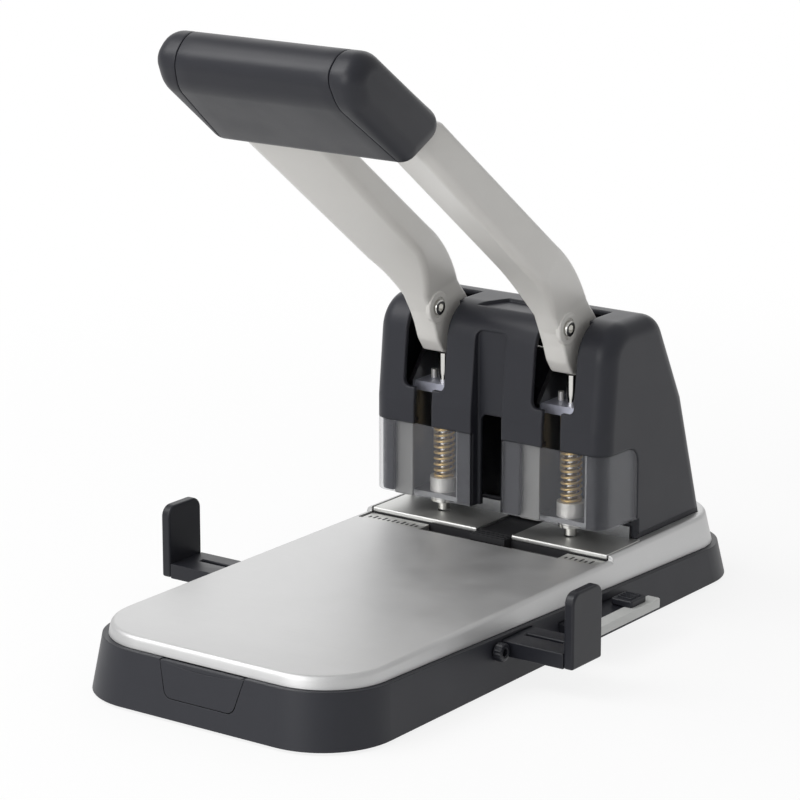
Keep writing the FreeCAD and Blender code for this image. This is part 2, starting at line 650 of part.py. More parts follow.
def make_guides_for_pins():
    """Bridges, collars, strippers and upper bars that guide the punch pins."""
    half = s.cheek_gap / 2
    bar_screws = []
    bore = s.pin_radius + s.pin_fit
    for side_name, side in SIDES:
        x = pin_x(side)
        bridge = box(f"bridge_block_{side_name}", (x - half, x + half), (-s.frame_front, s.frame_web_y),
                     (s.bridge_z, s.bridge_z + s.bridge_thick))
        hole = rod(f"bridge_hole_{side_name}", s.spigot_radius + s.fit_gap, 20, x, 0, s.bridge_z - 5)
        keep(cut(f"lower_bridge_{side_name}", bridge, [hole]))
        seat_z = s.bridge_z + s.bridge_thick
        collar = join(f"collar_body_{side_name}", [
            rod(f"collar_cup_{side_name}", s.collar_radius, s.collar_top_z - seat_z, x, 0, seat_z),
            rod(f"collar_spigot_{side_name}", s.spigot_radius, seat_z - s.throat_top_z, x, 0,
                s.throat_top_z)])
        keep(cut(f"guide_collar_{side_name}", collar,
                 [rod(f"collar_bore_{side_name}", bore, s.collar_top_z - s.throat_top_z + 10, x, 0,
                      s.throat_top_z - 5)]))
        keep(ring(f"stripper_ring_{side_name}", s.stripper_radius, s.spigot_radius + s.fit_gap,
                  s.bridge_z - s.throat_top_z, x, 0, s.throat_top_z))
        bar = box(f"bar_block_{side_name}", (x - half, x + half), (-s.guide_bar_front, s.guide_bar_rear),
                  (s.guide_bar_z, s.guide_bar_z + s.guide_bar_thick))
        screw_x = x - s.bar_screw_x
        tap = rod(f"bar_tap_{side_name}", s.screw_radius, 20, screw_x, s.bar_screw_y, s.guide_bar_z - 5)
        keep(cut(f"upper_guide_bar_{side_name}", bar,
                 [rod(f"bar_bore_{side_name}", bore, 20, x, 0, s.guide_bar_z - 5), tap]))
        top = s.guide_bar_z + s.guide_bar_thick
        bar_screws.append(join(f"bar_screw_{side_name}", [
            rod(f"bar_screw_head_{side_name}", s.bar_screw_radius, s.bar_screw_height, screw_x,
                s.bar_screw_y, top),
            rod(f"bar_screw_shank_{side_name}", s.screw_radius - s.fit_gap, s.guide_bar_thick, screw_x,
                s.bar_screw_y, s.guide_bar_z)]))
    keep(group("guide_bar_screws", bar_screws))


def spring_shape():
    """A round-wire compression spring with its lowest coil at the origin."""
    free = (s.clip_z - s.collar_top_z - s.wire_radius * 2 - s.fit_gap * 2).number
    helix = Part.makeHelix(free / s.spring_turns.number, free, s.spring_radius.number)
    start = FreeCAD.Vector(s.spring_radius.number, 0, 0)
    circle = Part.Circle(start, FreeCAD.Vector(0, 1, 0), s.wire_radius.number)
    wire = Part.Wire(circle.toShape())
    return Part.Wire(helix).makePipeShell([wire], True, True)


def make_pins():
    """Punch pins with their clips and return springs."""
    for side_name, side in SIDES:
        x = pin_x(side)
        keep(rod(f"punch_pin_{side_name}", s.pin_radius, s.pin_head_z - s.pin_tip_z, x, 0, s.pin_tip_z))
        keep(ring(f"spring_clip_{side_name}", s.clip_radius, s.pin_radius + s.pin_fit, s.clip_thick,
                  x, 0, s.clip_z))
        seat = (s.collar_top_z + s.wire_radius + s.fit_gap).number
        place = FreeCAD.Placement(FreeCAD.Vector(x.number, 0, seat), FreeCAD.Rotation())
        keep(feature(f"return_spring_{side_name}", spring_shape(), place))


def make_shaft():
    """The lever's shaft with its retaining clips."""
    reach = s.hole_spacing / 2 + s.cheek_gap / 2 + s.cheek_thick
    half = reach + s.shaft_overhang
    keep(rod("pivot_shaft", s.shaft_radius, half * 2, -half, s.pivot_y, s.pivot_z, axis="x"))
    clips = []
    for side_name, side in SIDES:
        start = reach + s.fit_gap if side > 0 else -reach - s.fit_gap - s.shaft_clip_thick
        clips.append(ring(f"shaft_clip_{side_name}", s.shaft_clip_radius, s.shaft_radius + s.shaft_fit,
                          s.shaft_clip_thick, start, s.pivot_y, s.pivot_z, axis="x"))
    keep(group("shaft_clips", clips))


# ---------------------------------------------------------------- housing

def back_y(level):
    """Y of the housing's lower back at one height."""
    slope = (s.house_foot_rear - s.house_knee_y) / (s.house_knee_z - s.table_z)
    return s.house_foot_rear - (as_size(level) - s.table_z) * slope


def front_y(level):
    """Y of the housing's leaning upper front at one height."""
    slope = s.front_lean / (s.house_top_z - s.front_lean_z)
    return (as_size(level) - s.front_lean_z) * slope - s.house_front


def housing_cavity():
    """The hollow of the housing, narrower behind the guards."""
    wall = s.house_wall
    back = [(s.house_top_rear - wall * 0.7, s.house_top_z - wall),
            (s.house_knee_y - wall * 1.06, s.house_knee_z),
            (back_y(s.table_z - 5) - wall * 1.04, s.table_z - 5)]
    inner_y = s.house_throat_y + s.house_throat_wall
    low = [(inner_y, s.table_z - 5), (inner_y, s.house_wall_top)]
    step = [(-s.house_front + s.house_low_wall, s.house_wall_top),
            (-s.house_front + s.house_low_wall, s.house_step_z)]
    front = [(-s.house_front + wall, s.house_step_z), (-s.house_front + wall, s.front_lean_z),
             (front_y(s.house_top_z - wall) + wall, s.house_top_z - wall)]
    half = s.house_half_width - s.house_low_wall
    middle = prism("cavity_middle", "YZ_Plane", step + front + back + low, -half, half)
    half = s.house_half_width - wall
    shift = s.guard_rear + s.house_wall + 1
    wide_points = [(shift, s.house_step_z)] + front + back + [(shift, s.table_z - 5)]
    wide = prism("cavity_wide", "YZ_Plane", wide_points, -half, half)
    limit = [(-s.house_front + wall, 0)] + front[1:] + back[:2]
    limit += [(back_y(0) - wall * 1.04, 0)]
    limit = round_housing("limit_rounded", prism("limit_block", "YZ_Plane", limit, -half, half), wall)
    hollow = overlap("housing_hollow", join("hollow_sum", [middle, wide]), limit)
    deep = -s.house_front + s.recess_depth
    recess = box("recess_walls", (-s.recess_half - wall, s.recess_half + wall), (-BIG, deep + wall),
                 (0, s.recess_top_z + wall))
    return cut("housing_cavity", hollow, [recess])


def housing_tools():
    """Slots, windows, channels, the middle recess and the rabbets for the guards."""
    front, high = -s.house_front - 5, s.house_top_z + 5
    inside = -s.house_front + s.slot_depth
    low, middle = s.guard_low_z.number, s.contact_z.number
    recess = box("recess", (-s.recess_half, s.recess_half), (front, -s.house_front + s.recess_depth),
                 (0, s.recess_top_z))
    recess = round_edges("recess_rounded", recess, s.slot_corner,
                         lambda edge: along(edge, 1) and edge.Vertexes[0].Point.z > low)
    door = box("door", (-s.door_half, s.door_half), (front, inside + 2), (0, s.door_top_z))
    door = round_edges("door_rounded", door, s.slot_corner,
                       lambda edge: along(edge, 1) and edge.Vertexes[0].Point.z > low)
    tools = [recess, door]
    for side_name, side in SIDES:
        x = pin_x(side)
        slot = box(f"slot_{side_name}", (x - s.slot_half, x + s.slot_half),
                   (front, -s.house_front + s.slot_top_depth), (s.slot_low_z, high))
        tools.append(round_edges(f"slot_rounded_{side_name}", slot, s.slot_corner,
                                 lambda edge: along(edge, 1) and edge.Vertexes[0].Point.z < middle))
        tools.append(box(f"top_slot_{side_name}", (x - s.top_slot_half, x + s.top_slot_half),
                         (front, s.top_slot_rear), (s.house_top_z - 10, high)))
        tools.append(box(f"channel_{side_name}", (x - s.channel_half, x + s.channel_half),
                         (front, inside), (s.guard_top_z - 1, s.slot_low_z + 1)))
        tools.append(box(f"window_{side_name}", (x - s.window_half, x + s.window_half),
                         (front, inside), (s.guard_low_z - 5, s.guard_top_z)))
        tools.append(guard_form(f"rabbet_{side_name}", side, s.guard_gap, 5))
    pocket = [(-s.pocket_half_front, -s.pocket_front), (s.pocket_half_front, -s.pocket_front),
              (s.pocket_half_rear, s.pocket_rear), (-s.pocket_half_rear, s.pocket_rear)]
    tools.append(prism("top_pocket", "XY_Plane", pocket, s.house_top_z - s.pocket_depth, high))
    step_z = (0, s.plate_top_z + s.foot_step_height)
    for side_name, side in SIDES:
        tools.append(box(f"foot_step_{side_name}", span(side, s.house_half_width - s.foot_step, BIG),
                         (-BIG, BIG), step_z))
    tools.append(box("foot_step_rear", (-BIG, BIG), (back_y(s.plate_top_z) - s.foot_step, BIG), step_z))
    ledge = s.panel_ledge
    tools.append(panel_form("panel_rabbet", s.guard_gap, s.panel_thick, 5))
    tools.append(panel_form("panel_port", -ledge, s.house_wall * 2, 5))
    return tools


def panel_form(name, grow, depth, out):
    """A slab parallel to the housing's lower back."""
    low, high = s.panel_low_z - grow, s.panel_high_z + grow
    points = [(back_y(low) + out, low), (back_y(high) + out, high),
              (back_y(high) - as_size(depth) * 1.04, high), (back_y(low) - as_size(depth) * 1.04, low)]
    half = s.panel_half_width + grow
    return prism(name, "YZ_Plane", points, -half, half)


def guard_form(name, side, grow, out):
    """The L-shaped space of a guard, grown by a gap on its inside and open to the outside."""
    grow, out = as_size(grow), as_size(out)
    low, near = s.guard_low_z.number, s.hole_spacing.number / 2
    half, front = s.house_half_width, -s.house_front
    block = box(name + "_block", span(side, s.guard_inner - grow, half + out),
                (front - out, s.guard_rear + grow),
                (s.guard_low_z - out, s.guard_top_z + grow))

    def corner(edge):
        point = edge.Vertexes[0].Point
        return along(edge, 0) and point.y > 0 and point.z > low

    block = round_edges(name + "_arched", block, s.guard_corner, corner)
    inset = s.guard_thick + grow
    core = box(name + "_core", span(side, s.guard_inner - grow - 5, half - inset),
               (front + inset, s.guard_rear + 5),
               (s.guard_low_z - out - 5, s.guard_top_z + 5))
    limit = front.number + inset.number

    def inner_corner(edge):
        point = edge.Vertexes[0].Point
        return along(edge, 2) and abs(point.y - limit) < 0.01 and abs(point.x) > near

    core = round_edges(name + "_core_rounded", core, s.guard_corner - inset, inner_corner)
    return cut(name, block, [core])


def make_housing():
    """The black housing, its rear panel and the clear guards."""
    seat_z = s.plate_top_z
    points = [(-s.house_front, s.guard_low_z), (-s.house_front, s.front_lean_z),
              (front_y(s.house_top_z), s.house_top_z), (s.house_top_rear, s.house_top_z),
              (s.house_knee_y, s.house_knee_z), (back_y(seat_z), seat_z),
              (s.house_throat_y, seat_z), (s.house_throat_y, s.guard_low_z)]
    block = prism("housing_block", "YZ_Plane", points, -s.house_half_width, s.house_half_width)
    outer = round_housing("housing_rounded", block, 0)
    shell = cut("housing_walls", outer, [housing_cavity()])
    keep(cut("housing_shell", shell, housing_tools()))
    keep(panel_form("rear_panel", 0, s.panel_thick, 0))
    for side_name, side in SIDES:
        guard = guard_form(f"guard_form_{side_name}", side, 0, 0)
        front = -s.house_front.number
        keep(round_edges(f"guard_{side_name}", guard, s.guard_corner,
                         lambda edge: along(edge, 2) and abs(edge.Vertexes[0].Point.y - front) < 0.01
                         and abs(edge.Vertexes[0].Point.x) > 40))


def round_housing(name, block, shrink):
    """Rounds the top, side, front and back edges of the housing or of its hollow."""
    doc.recompute()
    top = block.Shape.BoundBox.ZMax
    corner, back = (s.house_corner - shrink).number, (s.house_back_round - shrink).number
    front = (s.front_round - shrink).number
    edges = []
    for number, edge in enumerate(block.Shape.Edges, start=1):
        ends = [vertex.Point for vertex in edge.Vertexes]
        across = along(edge, 0)
        if across and ends[0].z > top - 0.01:
            radius = back if ends[0].y > 0 else front
        elif not across and max(end.z for end in ends) > s.guard_low_z.number + 10:
            radius = corner
        else:
            continue
        edges.append((number, radius, radius))
    item = doc.addObject("Part::Fillet", name)
    item.Base = block
    item.Edges = edges
    return item


# ---------------------------------------------------------------- lever

def rounded_wire(corners, radius):
    """A closed wire through flat corners, each rounded to one radius."""
    count = len(corners)
    pieces, starts, ends = [], [], []
    for index, corner in enumerate(corners):
        back = (corners[index - 1] - corner).normalize()
        ahead = (corners[(index + 1) % count] - corner).normalize()
        half = back.getAngle(ahead) / 2
        reach = radius / math.tan(half)
        middle = (back + ahead).normalize() * (radius / math.sin(half) - radius)
        start, end = corner + back * reach, corner + ahead * reach
        starts.append(start)
        ends.append(end)
        pieces.append(Part.Arc(start, corner + middle, end).toShape())
    wire = []
    for index in range(count):
        wire.append(pieces[index])
        wire.append(Part.LineSegment(ends[index], starts[(index + 1) % count]).toShape())
    return Part.Wire(wire)


def arm_stations():
    """Sections of an arm: front lower corner, angle, depth, cant and the two X limits."""
    half = s.arm_half_thick.number
    middle = s.hole_spacing.number / 2
    knee = (-s.knee_y.number, s.knee_z.number)
    turn = math.radians(s.grip_angle.number)

    def ahead(distance):
        return knee[0] - distance * math.cos(turn), knee[1] + distance * math.sin(turn)

    run = 90.0 - s.grip_angle.number
    root = (-s.root_y.number, s.root_z.number, 0.0, s.root_depth.number, s.root_cant.number,
            middle - half, middle + half)
    bend = (*knee, s.knee_angle.number, s.knee_depth.number, s.knee_cant.number, s.knee_inner_x.number,
            s.knee_outer_x.number)
    upper = (*ahead(s.arm_bend_length.number), run, s.arm_depth.number, s.arm_cant.number,
             s.arm_inner_x.number, s.arm_outer_x.number)
    end = (*ahead(s.arm_length.number), run, s.arm_end_depth.number, s.arm_end_cant.number,
           s.arm_end_inner_x.number, s.arm_end_outer_x.number)
    lower = tuple(a + (b - a) * 0.45 for a, b in zip(root, bend))
    lower = lower[:5] + (middle - half - 0.3, middle + half + 0.3)
    curve = []
    for step in range(7):
        t = step / 6
        curve.append(tuple(a * (1 - t) ** 2 + 2 * b * t * (1 - t) + c * t * t
                           for a, b, c in zip(lower, bend, upper)))
    return [root] + curve + [end]


def arm_section(station, side):
    """The rounded outline of an arm at one station."""
    y, z, angle, depth, cant, inner, outer = station
    turn = math.radians(angle)

    def point(x, w):
        return FreeCAD.Vector(x * side, y + w * math.cos(turn), z + w * math.sin(turn))

    corners = [point(inner, cant), point(outer, 0), point(outer, depth), point(inner, depth)]
    return rounded_wire(corners, s.arm_round.number)


def cam_points():
    """The arm's working face, which keeps pressing straight down on the pin."""
    reach = s.pivot_y.number
    drop = s.pivot_z.number - s.contact_z.number
    low, high = -(s.raise_angle.number + 4), s.press_angle.number + 4
    points = []
    for step in range(13):
        angle = math.radians(high + (low - high) * step / 12)
        y, z = -reach, -drop - reach * angle
        points.append((reach + y * math.cos(angle) + z * math.sin(angle),
                       s.pivot_z.number - y * math.sin(angle) + z * math.cos(angle)))
    return points


def arm_root(side):
    """The flat lower end of an arm with its cam and its eye."""
    half = s.arm_half_thick.number
    middle = s.hole_spacing.number / 2 * side
    start = FreeCAD.Vector(middle - half, 0, 0)
    ear = s.ear_radius.number
    y, z = s.pivot_y.number, s.pivot_z.number
    outline = [(-s.root_y.number, s.root_z.number), (-s.tip_front_y.number, s.tip_front_z.number)]
    outline += cam_points()
    outline += [(y - ear * 0.75, z - ear * 0.62), (y, z),
                (s.root_depth.number - s.root_y.number, s.root_z.number)]
    points = [start + FreeCAD.Vector(0, a, b) for a, b in outline]
    face = Part.Face(Part.makePolygon(points + [points[0]]))
    root = face.extrude(FreeCAD.Vector(half * 2, 0, 0))
    along_x = FreeCAD.Vector(1, 0, 0)
    eye = Part.makeCylinder(ear, half * 2, FreeCAD.Vector(middle - half, y, z), along_x)
    neck_points = [(y, z + ear), (y, z), (-5, z), (-s.root_y.number + 4, s.root_z.number),
                   (s.root_depth.number - s.root_y.number, s.root_z.number + 2)]
    neck_points = [start + FreeCAD.Vector(0, a, b) for a, b in neck_points]
    neck = Part.Face(Part.makePolygon(neck_points + [neck_points[0]])).extrude(FreeCAD.Vector(half * 2, 0, 0))
    return root.fuse([eye, neck])


def grip_place():
    """The grip's own frame in the whole, past the end of the arms and a little below them."""
    turn = math.radians(s.grip_angle.number)
    ahead, drop = (s.arm_length + s.grip_start).number, s.grip_drop.number
    start = FreeCAD.Vector(0, -s.knee_y.number - ahead * math.cos(turn) - drop * math.sin(turn),
                           s.knee_z.number + ahead * math.sin(turn) - drop * math.cos(turn))
    return FreeCAD.Placement(start, FreeCAD.Rotation(FreeCAD.Vector(1, 0, 0), -s.grip_angle.number))


def tang(side, grow):
    """An arm's tongue inside the grip, grown by a gap when it is used as a tool."""
    half, thick = s.tang_half_width.number + grow, s.tang_half_thick.number + grow
    middle = (s.arm_end_inner_x.number + s.arm_end_outer_x.number) / 2 * side
    centre = s.grip_thick.number / 2
    block = Part.makeBox(half * 2, s.tang_length.number + 14 + grow, thick * 2)
    block.translate(FreeCAD.Vector(middle - half, -s.tang_length.number - grow, centre - thick))
    block.Placement = grip_place().multiply(block.Placement)
    return block


def make_arms():
    """Both lever arms with their bushes and screws."""
    bushes, screws = [], []
    along_x = FreeCAD.Vector(1, 0, 0)
    y, z = s.pivot_y.number, s.pivot_z.number
    half = s.arm_half_thick.number
    for side_name, side in SIDES:
        middle = s.hole_spacing.number / 2 * side
        sections = [arm_section(station, side) for station in arm_stations()]
        beam = Part.makeLoft(sections, True, True)
        boss_x = middle + half - 1
        boss_top = middle + half + s.boss_height.number
        spot = FreeCAD.Vector(boss_x, -s.boss_y.number, s.boss_z.number)
        boss = Part.makeCylinder(s.boss_radius.number, boss_top - boss_x, spot, along_x)
        arm = beam.fuse([arm_root(side), tang(side, 0), boss]).removeSplitter()
        bore = Part.makeCylinder(s.bush_radius.number, half * 4,
                                 FreeCAD.Vector(middle - half * 2, y, z), along_x)
        keep(feature(f"lever_arm_{side_name}", arm.cut(bore)))
        bushes.append(ring(f"arm_bush_{side_name}", s.bush_radius, s.shaft_radius + s.shaft_fit,
                           s.arm_half_thick * 2, pin_x(side) - s.arm_half_thick, s.pivot_y, s.pivot_z,
                           axis="x"))
        head = rod(f"arm_screw_head_{side_name}", s.arm_screw_radius, s.arm_screw_height,
                   pin_x(side) + s.arm_half_thick + s.boss_height, -s.boss_y, s.boss_z, axis="x")
        socket = rod(f"arm_screw_socket_{side_name}", s.arm_screw_radius / 2, s.arm_screw_height,
                     pin_x(side) + s.arm_half_thick + s.boss_height + 0.8, -s.boss_y, s.boss_z, axis="x")
        screws.append(cut(f"arm_screw_{side_name}", head, [socket]))
    keep(group("arm_bushes", bushes))
    keep(group("arm_screws", screws))


def grip_profile(inset):
    """The grip's side outline, moved in by a wall."""
    length, thick, nose = s.grip_length, s.grip_thick, s.grip_nose_thick
    return [(-s.grip_under - inset, as_size(inset)), (-length + s.nose_radius + inset * 0.3, as_size(inset)),
            (-length + inset, 7.6 + inset * 0.3), (-length + 2 + inset, nose - inset),
            (-8 - inset, thick - inset)]


def seam_region(name, side, shift):
    """Everything outside one seam of the grip."""
    rear, nose = s.seam_rear + shift, s.seam_nose + shift
    far = s.grip_half_width + 10
    points = [(rear * side, 5), (nose * side, -s.grip_length - 5), (far * side, -s.grip_length - 5),
              (far * side, 5)]
    return prism(name, "XY_Plane", points, -5, s.grip_thick + 5)


def make_grip():
    """The grip's body, end caps and inner bar."""
    half = s.grip_half_width
    block = prism("grip_block", "YZ_Plane", grip_profile(0), -half, half)
    doc.recompute()
    rounded = doc.addObject("Part::Fillet", "grip_rounded")
    rounded.Base = block
    edges = []
    for number, edge in enumerate(block.Shape.Edges, start=1):
        point = edge.Vertexes[0].Point
        if along(edge, 0):
            radius = 2.5 if point.y > -3 else 4.0 if point.y > -10 else 6.0
        else:
            radius = 7.0 if max(vertex.Point.y for vertex in edge.Vertexes) < -2 or \
                abs(edge.Vertexes[0].Point.z - edge.Vertexes[1].Point.z) < 6 else 4.0
        edges.append((number, radius, radius))
    rounded.Edges = edges
    hollow_half = half - s.grip_side_wall
    hollow = prism("grip_hollow", "YZ_Plane", grip_profile(s.grip_wall), -hollow_half, hollow_half)
    shell = cut("grip_walls", rounded, [hollow])
    tools, place = [], grip_place()
    for side_name, side in SIDES:
        tools.append(seam_region(f"shell_trim_{side_name}", side, -s.seam_gap))
        port = tang(side, s.fit_gap.number)
        port.Placement = place.inverse().multiply(port.Placement)
        tools.append(feature(f"tang_port_{side_name}", port))
        cap = overlap(f"grip_cap_{side_name}", shell, seam_region(f"cap_trim_{side_name}", side, 0))
        cap.Placement = place
        keep(cap)
    body = cut("grip_shell", shell, tools)
    body.Placement = place
    keep(body)
    wall = s.grip_wall
    start = -s.tang_length - s.core_width
    core = box("core_block", (-s.seam_nose + 4, s.seam_nose - 4), (start, -s.tang_length),
               (wall, s.grip_nose_thick - wall - 1))
    rib = box("core_rib", (-s.core_width, s.core_width), (start, -s.tang_length + 6),
              (wall, s.grip_nose_thick - wall - 1))
    holder = join("grip_core", [core, rib])
    holder.Placement = place
    keep(holder)


# ---------------------------------------------------------------- paper guides

def make_paper_guides():
    """Side guides with their sleeves and lock screws, and the format slide."""
    gap, wall = s.joint_gap, s.sleeve_wall
    y0, y1 = -s.guide_y - s.guide_half_depth, -s.guide_y + s.guide_half_depth
    locks = []
    for side_name, side in SIDES:
        far = span(side, s.sleeve_inner, s.sleeve_outer)
        outer = box(f"sleeve_block_{side_name}", far, (y0 - gap - wall, y1 + gap + wall),
                    (s.guide_low_z - gap - wall, s.guide_high_z + gap + wall))
        inner = box(f"sleeve_bore_{side_name}", span(side, s.sleeve_inner - 5, s.sleeve_outer + 5),
                    (y0 - gap, y1 + gap), (s.guide_low_z - gap, s.guide_high_z + gap))
        keep(cut(f"guide_sleeve_{side_name}", outer, [inner]))
        near = s.fence_inner_right if side > 0 else s.fence_inner_left
        arm = box(f"guide_bar_{side_name}", span(side, near - s.guide_reach, near), (y0, y1),
                  (s.guide_low_z, s.guide_high_z))
        groove = box(f"guide_groove_{side_name}", span(side, near - s.channel_start, near - s.channel_end),
                     (-s.guide_y, -s.guide_y + s.guide_channel), (s.guide_high_z - 3, s.guide_high_z + 5))
        keep(cut(f"guide_arm_{side_name}", arm, [groove]))
        fence = box(f"fence_block_{side_name}", span(side, near, near + s.fence_thick), (y0, y1),
                    (s.fence_low_z, s.fence_top_z))
        top = s.fence_top_z.number
        keep(round_edges(f"guide_fence_{side_name}", fence, s.fence_corner,
                         lambda edge: along(edge, 0) and edge.Vertexes[0].Point.z > top - 0.01))
        locks.append(lock_screw(side_name, side))
    keep(group("guide_lock_screws", locks))
    keep(box("format_slide", (s.slide_inner, s.slide_outer), (-s.slide_front, -s.slide_rear),
             (s.slide_low_z, s.slide_low_z + s.slide_thick)))
    top = s.slide_low_z + s.slide_thick
    keep(box("slide_stop", (s.slide_stop_inner, s.slide_stop_outer),
             (-s.slide_stop_front, -s.slide_stop_rear), (top, top + s.slide_stop_height)))


def lock_screw(side_name, side):
    """A screw through the tray's side wall below a guide."""
    seat = side_x(s.lock_z - s.lock_radius) + s.fit_gap
    length = s.lock_length - 4
    x = seat - length if side > 0 else -seat
    shank = rod(f"lock_shank_{side_name}", s.screw_radius, length, x, -s.lock_y, s.lock_z, axis="x")
    x = seat if side > 0 else -seat - s.lock_head
    head = rod(f"lock_head_{side_name}", s.lock_radius, s.lock_head, x, -s.lock_y, s.lock_z, axis="x")
    return join(f"lock_screw_{side_name}", [shank, head])


# ---------------------------------------------------------------- build and export

def check_all():
    """Stop when any object failed or a sub-part has no sound shape."""
    bad = [item.Label for item in doc.Objects if {"Invalid", "Error"} & set(item.State)]
    for item in KEPT:
        shape = item.Shape
        if shape.isNull() or not shape.isValid() or not shape.Solids:
            bad.append(f"{item.Label} (shape)")
    if bad:
        raise RuntimeError("failed objects: " + ", ".join(bad))


def main():
    """Build every sub-part and write one file for each."""
    steps = (make_tray, make_feet, make_cover, make_chassis, make_dies, make_chute, make_drawer, make_frames,
             make_guides_for_pins, make_pins, make_shaft, make_housing, make_arms, make_grip,
             make_paper_guides)
    for step in steps:
        step()
    doc.recompute()
    check_all()
    os.makedirs("parts", exist_ok=True)
    for item in KEPT:
        item.Shape.exportStep(f"parts/{item.Label}.step")
    print(f"{len(KEPT)} sub-parts written")


main()
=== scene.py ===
"""Looks of a two-hole lever punch, built round its packed construction model.

The origin lies on the floor midway between the two punch pins, X runs to the right, Y to the rear
and Z up.  Shapes are drawn in millimetres and turned to metres by ``MM``; the studio is in metres.
"""

from __future__ import annotations

import logging
import math
from dataclasses import dataclass
from enum import Enum
from typing import Any, Sequence

import bmesh
import bpy
import numpy as np
from mathutils import Euler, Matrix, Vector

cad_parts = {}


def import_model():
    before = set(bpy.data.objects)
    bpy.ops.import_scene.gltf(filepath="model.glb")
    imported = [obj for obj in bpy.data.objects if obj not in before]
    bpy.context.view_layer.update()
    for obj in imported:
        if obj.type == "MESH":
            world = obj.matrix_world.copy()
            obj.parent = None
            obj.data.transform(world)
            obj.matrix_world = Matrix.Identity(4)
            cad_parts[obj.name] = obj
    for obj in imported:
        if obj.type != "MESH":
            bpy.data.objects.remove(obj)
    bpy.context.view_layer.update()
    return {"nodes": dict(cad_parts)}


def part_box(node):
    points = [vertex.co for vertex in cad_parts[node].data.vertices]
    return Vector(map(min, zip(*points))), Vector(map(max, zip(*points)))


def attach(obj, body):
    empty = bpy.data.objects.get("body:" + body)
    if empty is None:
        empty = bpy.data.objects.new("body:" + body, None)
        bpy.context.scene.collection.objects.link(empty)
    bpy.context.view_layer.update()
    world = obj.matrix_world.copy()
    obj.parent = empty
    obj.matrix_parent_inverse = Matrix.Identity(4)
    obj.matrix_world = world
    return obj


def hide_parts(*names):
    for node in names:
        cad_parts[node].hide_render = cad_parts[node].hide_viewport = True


LOG = logging.getLogger("hole_punch")
MM = 0.001
SIDES = (("left", -1.0), ("right", 1.0))
WELD = 0.002 * MM

Grid = np.ndarray
Outline = tuple[Grid, Grid]
Flat = tuple[float, float]
Point = tuple[float, float, float]
Floats = tuple[float, ...]
Object = bpy.types.Object
Material = bpy.types.Material
Tree = bpy.types.NodeTree
Node = bpy.types.Node
Socket = bpy.types.NodeSocket


# ---------------- colour


def linear(code: str) -> tuple[float, float, float, float]:
    """Turns an sRGB hex colour such as "2d2e32" to linear red, green, blue and an alpha of 1.

    Each channel c in 0..1 becomes c / 12.92 below 0.04045 and ((c + 0.055) / 1.055) ** 2.4 above.
    """
    channels = np.array([int(code[i:i + 2], 16) for i in (0, 2, 4)]) / 255.0
    light = np.where(channels <= 0.04045, channels / 12.92, ((channels + 0.055) / 1.055) ** 2.4)
    return (*light.tolist(), 1.0)


# ---------------- materials


def add_node(tree: Tree, kind: str, inputs: dict[str | int, Any] | None = None, **settings: Any) -> Node:
    """Adds one shader node with its settings, values and links, and gives it.

    Args:
        tree: The node tree to add to.
        kind: The node's class name without the "ShaderNode" prefix.
        inputs: Socket name or number to a value, or to another node's output socket to link.
        **settings: Properties of the node itself.
    """
    node = tree.nodes.new("ShaderNode" + kind)
    for name, value in settings.items():
        setattr(node, name, value)
    for key, value in (inputs or {}).items():
        socket = node.inputs[key]
        if isinstance(value, Socket):
            tree.links.new(value, socket)
        else:
            socket.default_value = value
    return node


def empty_tree(owner: Material | bpy.types.World) -> Tree:
    """Turns on the nodes of a material or world and gives its tree, emptied."""
    owner.use_nodes = True
    owner.node_tree.nodes.clear()
    return owner.node_tree


def noise(tree: Tree, place: Socket, spacing_mm: float, detail: float = 2.0, rough: float = 0.5) -> Socket:
    """Adds an even noise with a spacing in millimetres and gives its value."""
    return add_node(tree, "TexNoise", {"Vector": place, "Scale": 1.0 / (spacing_mm * MM),
                                       "Detail": detail, "Roughness": rough}).outputs["Fac"]


def remap(tree: Tree, value: Socket, span: Flat, reach: Flat, **settings: Any) -> Socket:
    """Carries a value from one span to another, and holds it within the second."""
    return add_node(tree, "MapRange", {"Value": value, "From Min": span[0], "From Max": span[1],
                                       "To Min": reach[0], "To Max": reach[1]}, **settings).outputs["Result"]


def join(tree: Tree, operation: str, first: Socket, second: Socket | float) -> Socket:
    """Works one value out of two, such as their greater one, and gives it."""
    return add_node(tree, "Math", {0: first, 1: second}, operation=operation).outputs[0]


class Direction(Enum):
    """The way that a brushed or turned surface's lines run."""

    ALONG_X = (0.02, 1.0, 1.0)
    AROUND_Z = (0.06, 0.06, 1.0)
    AROUND_X = (1.0, 0.06, 0.06)


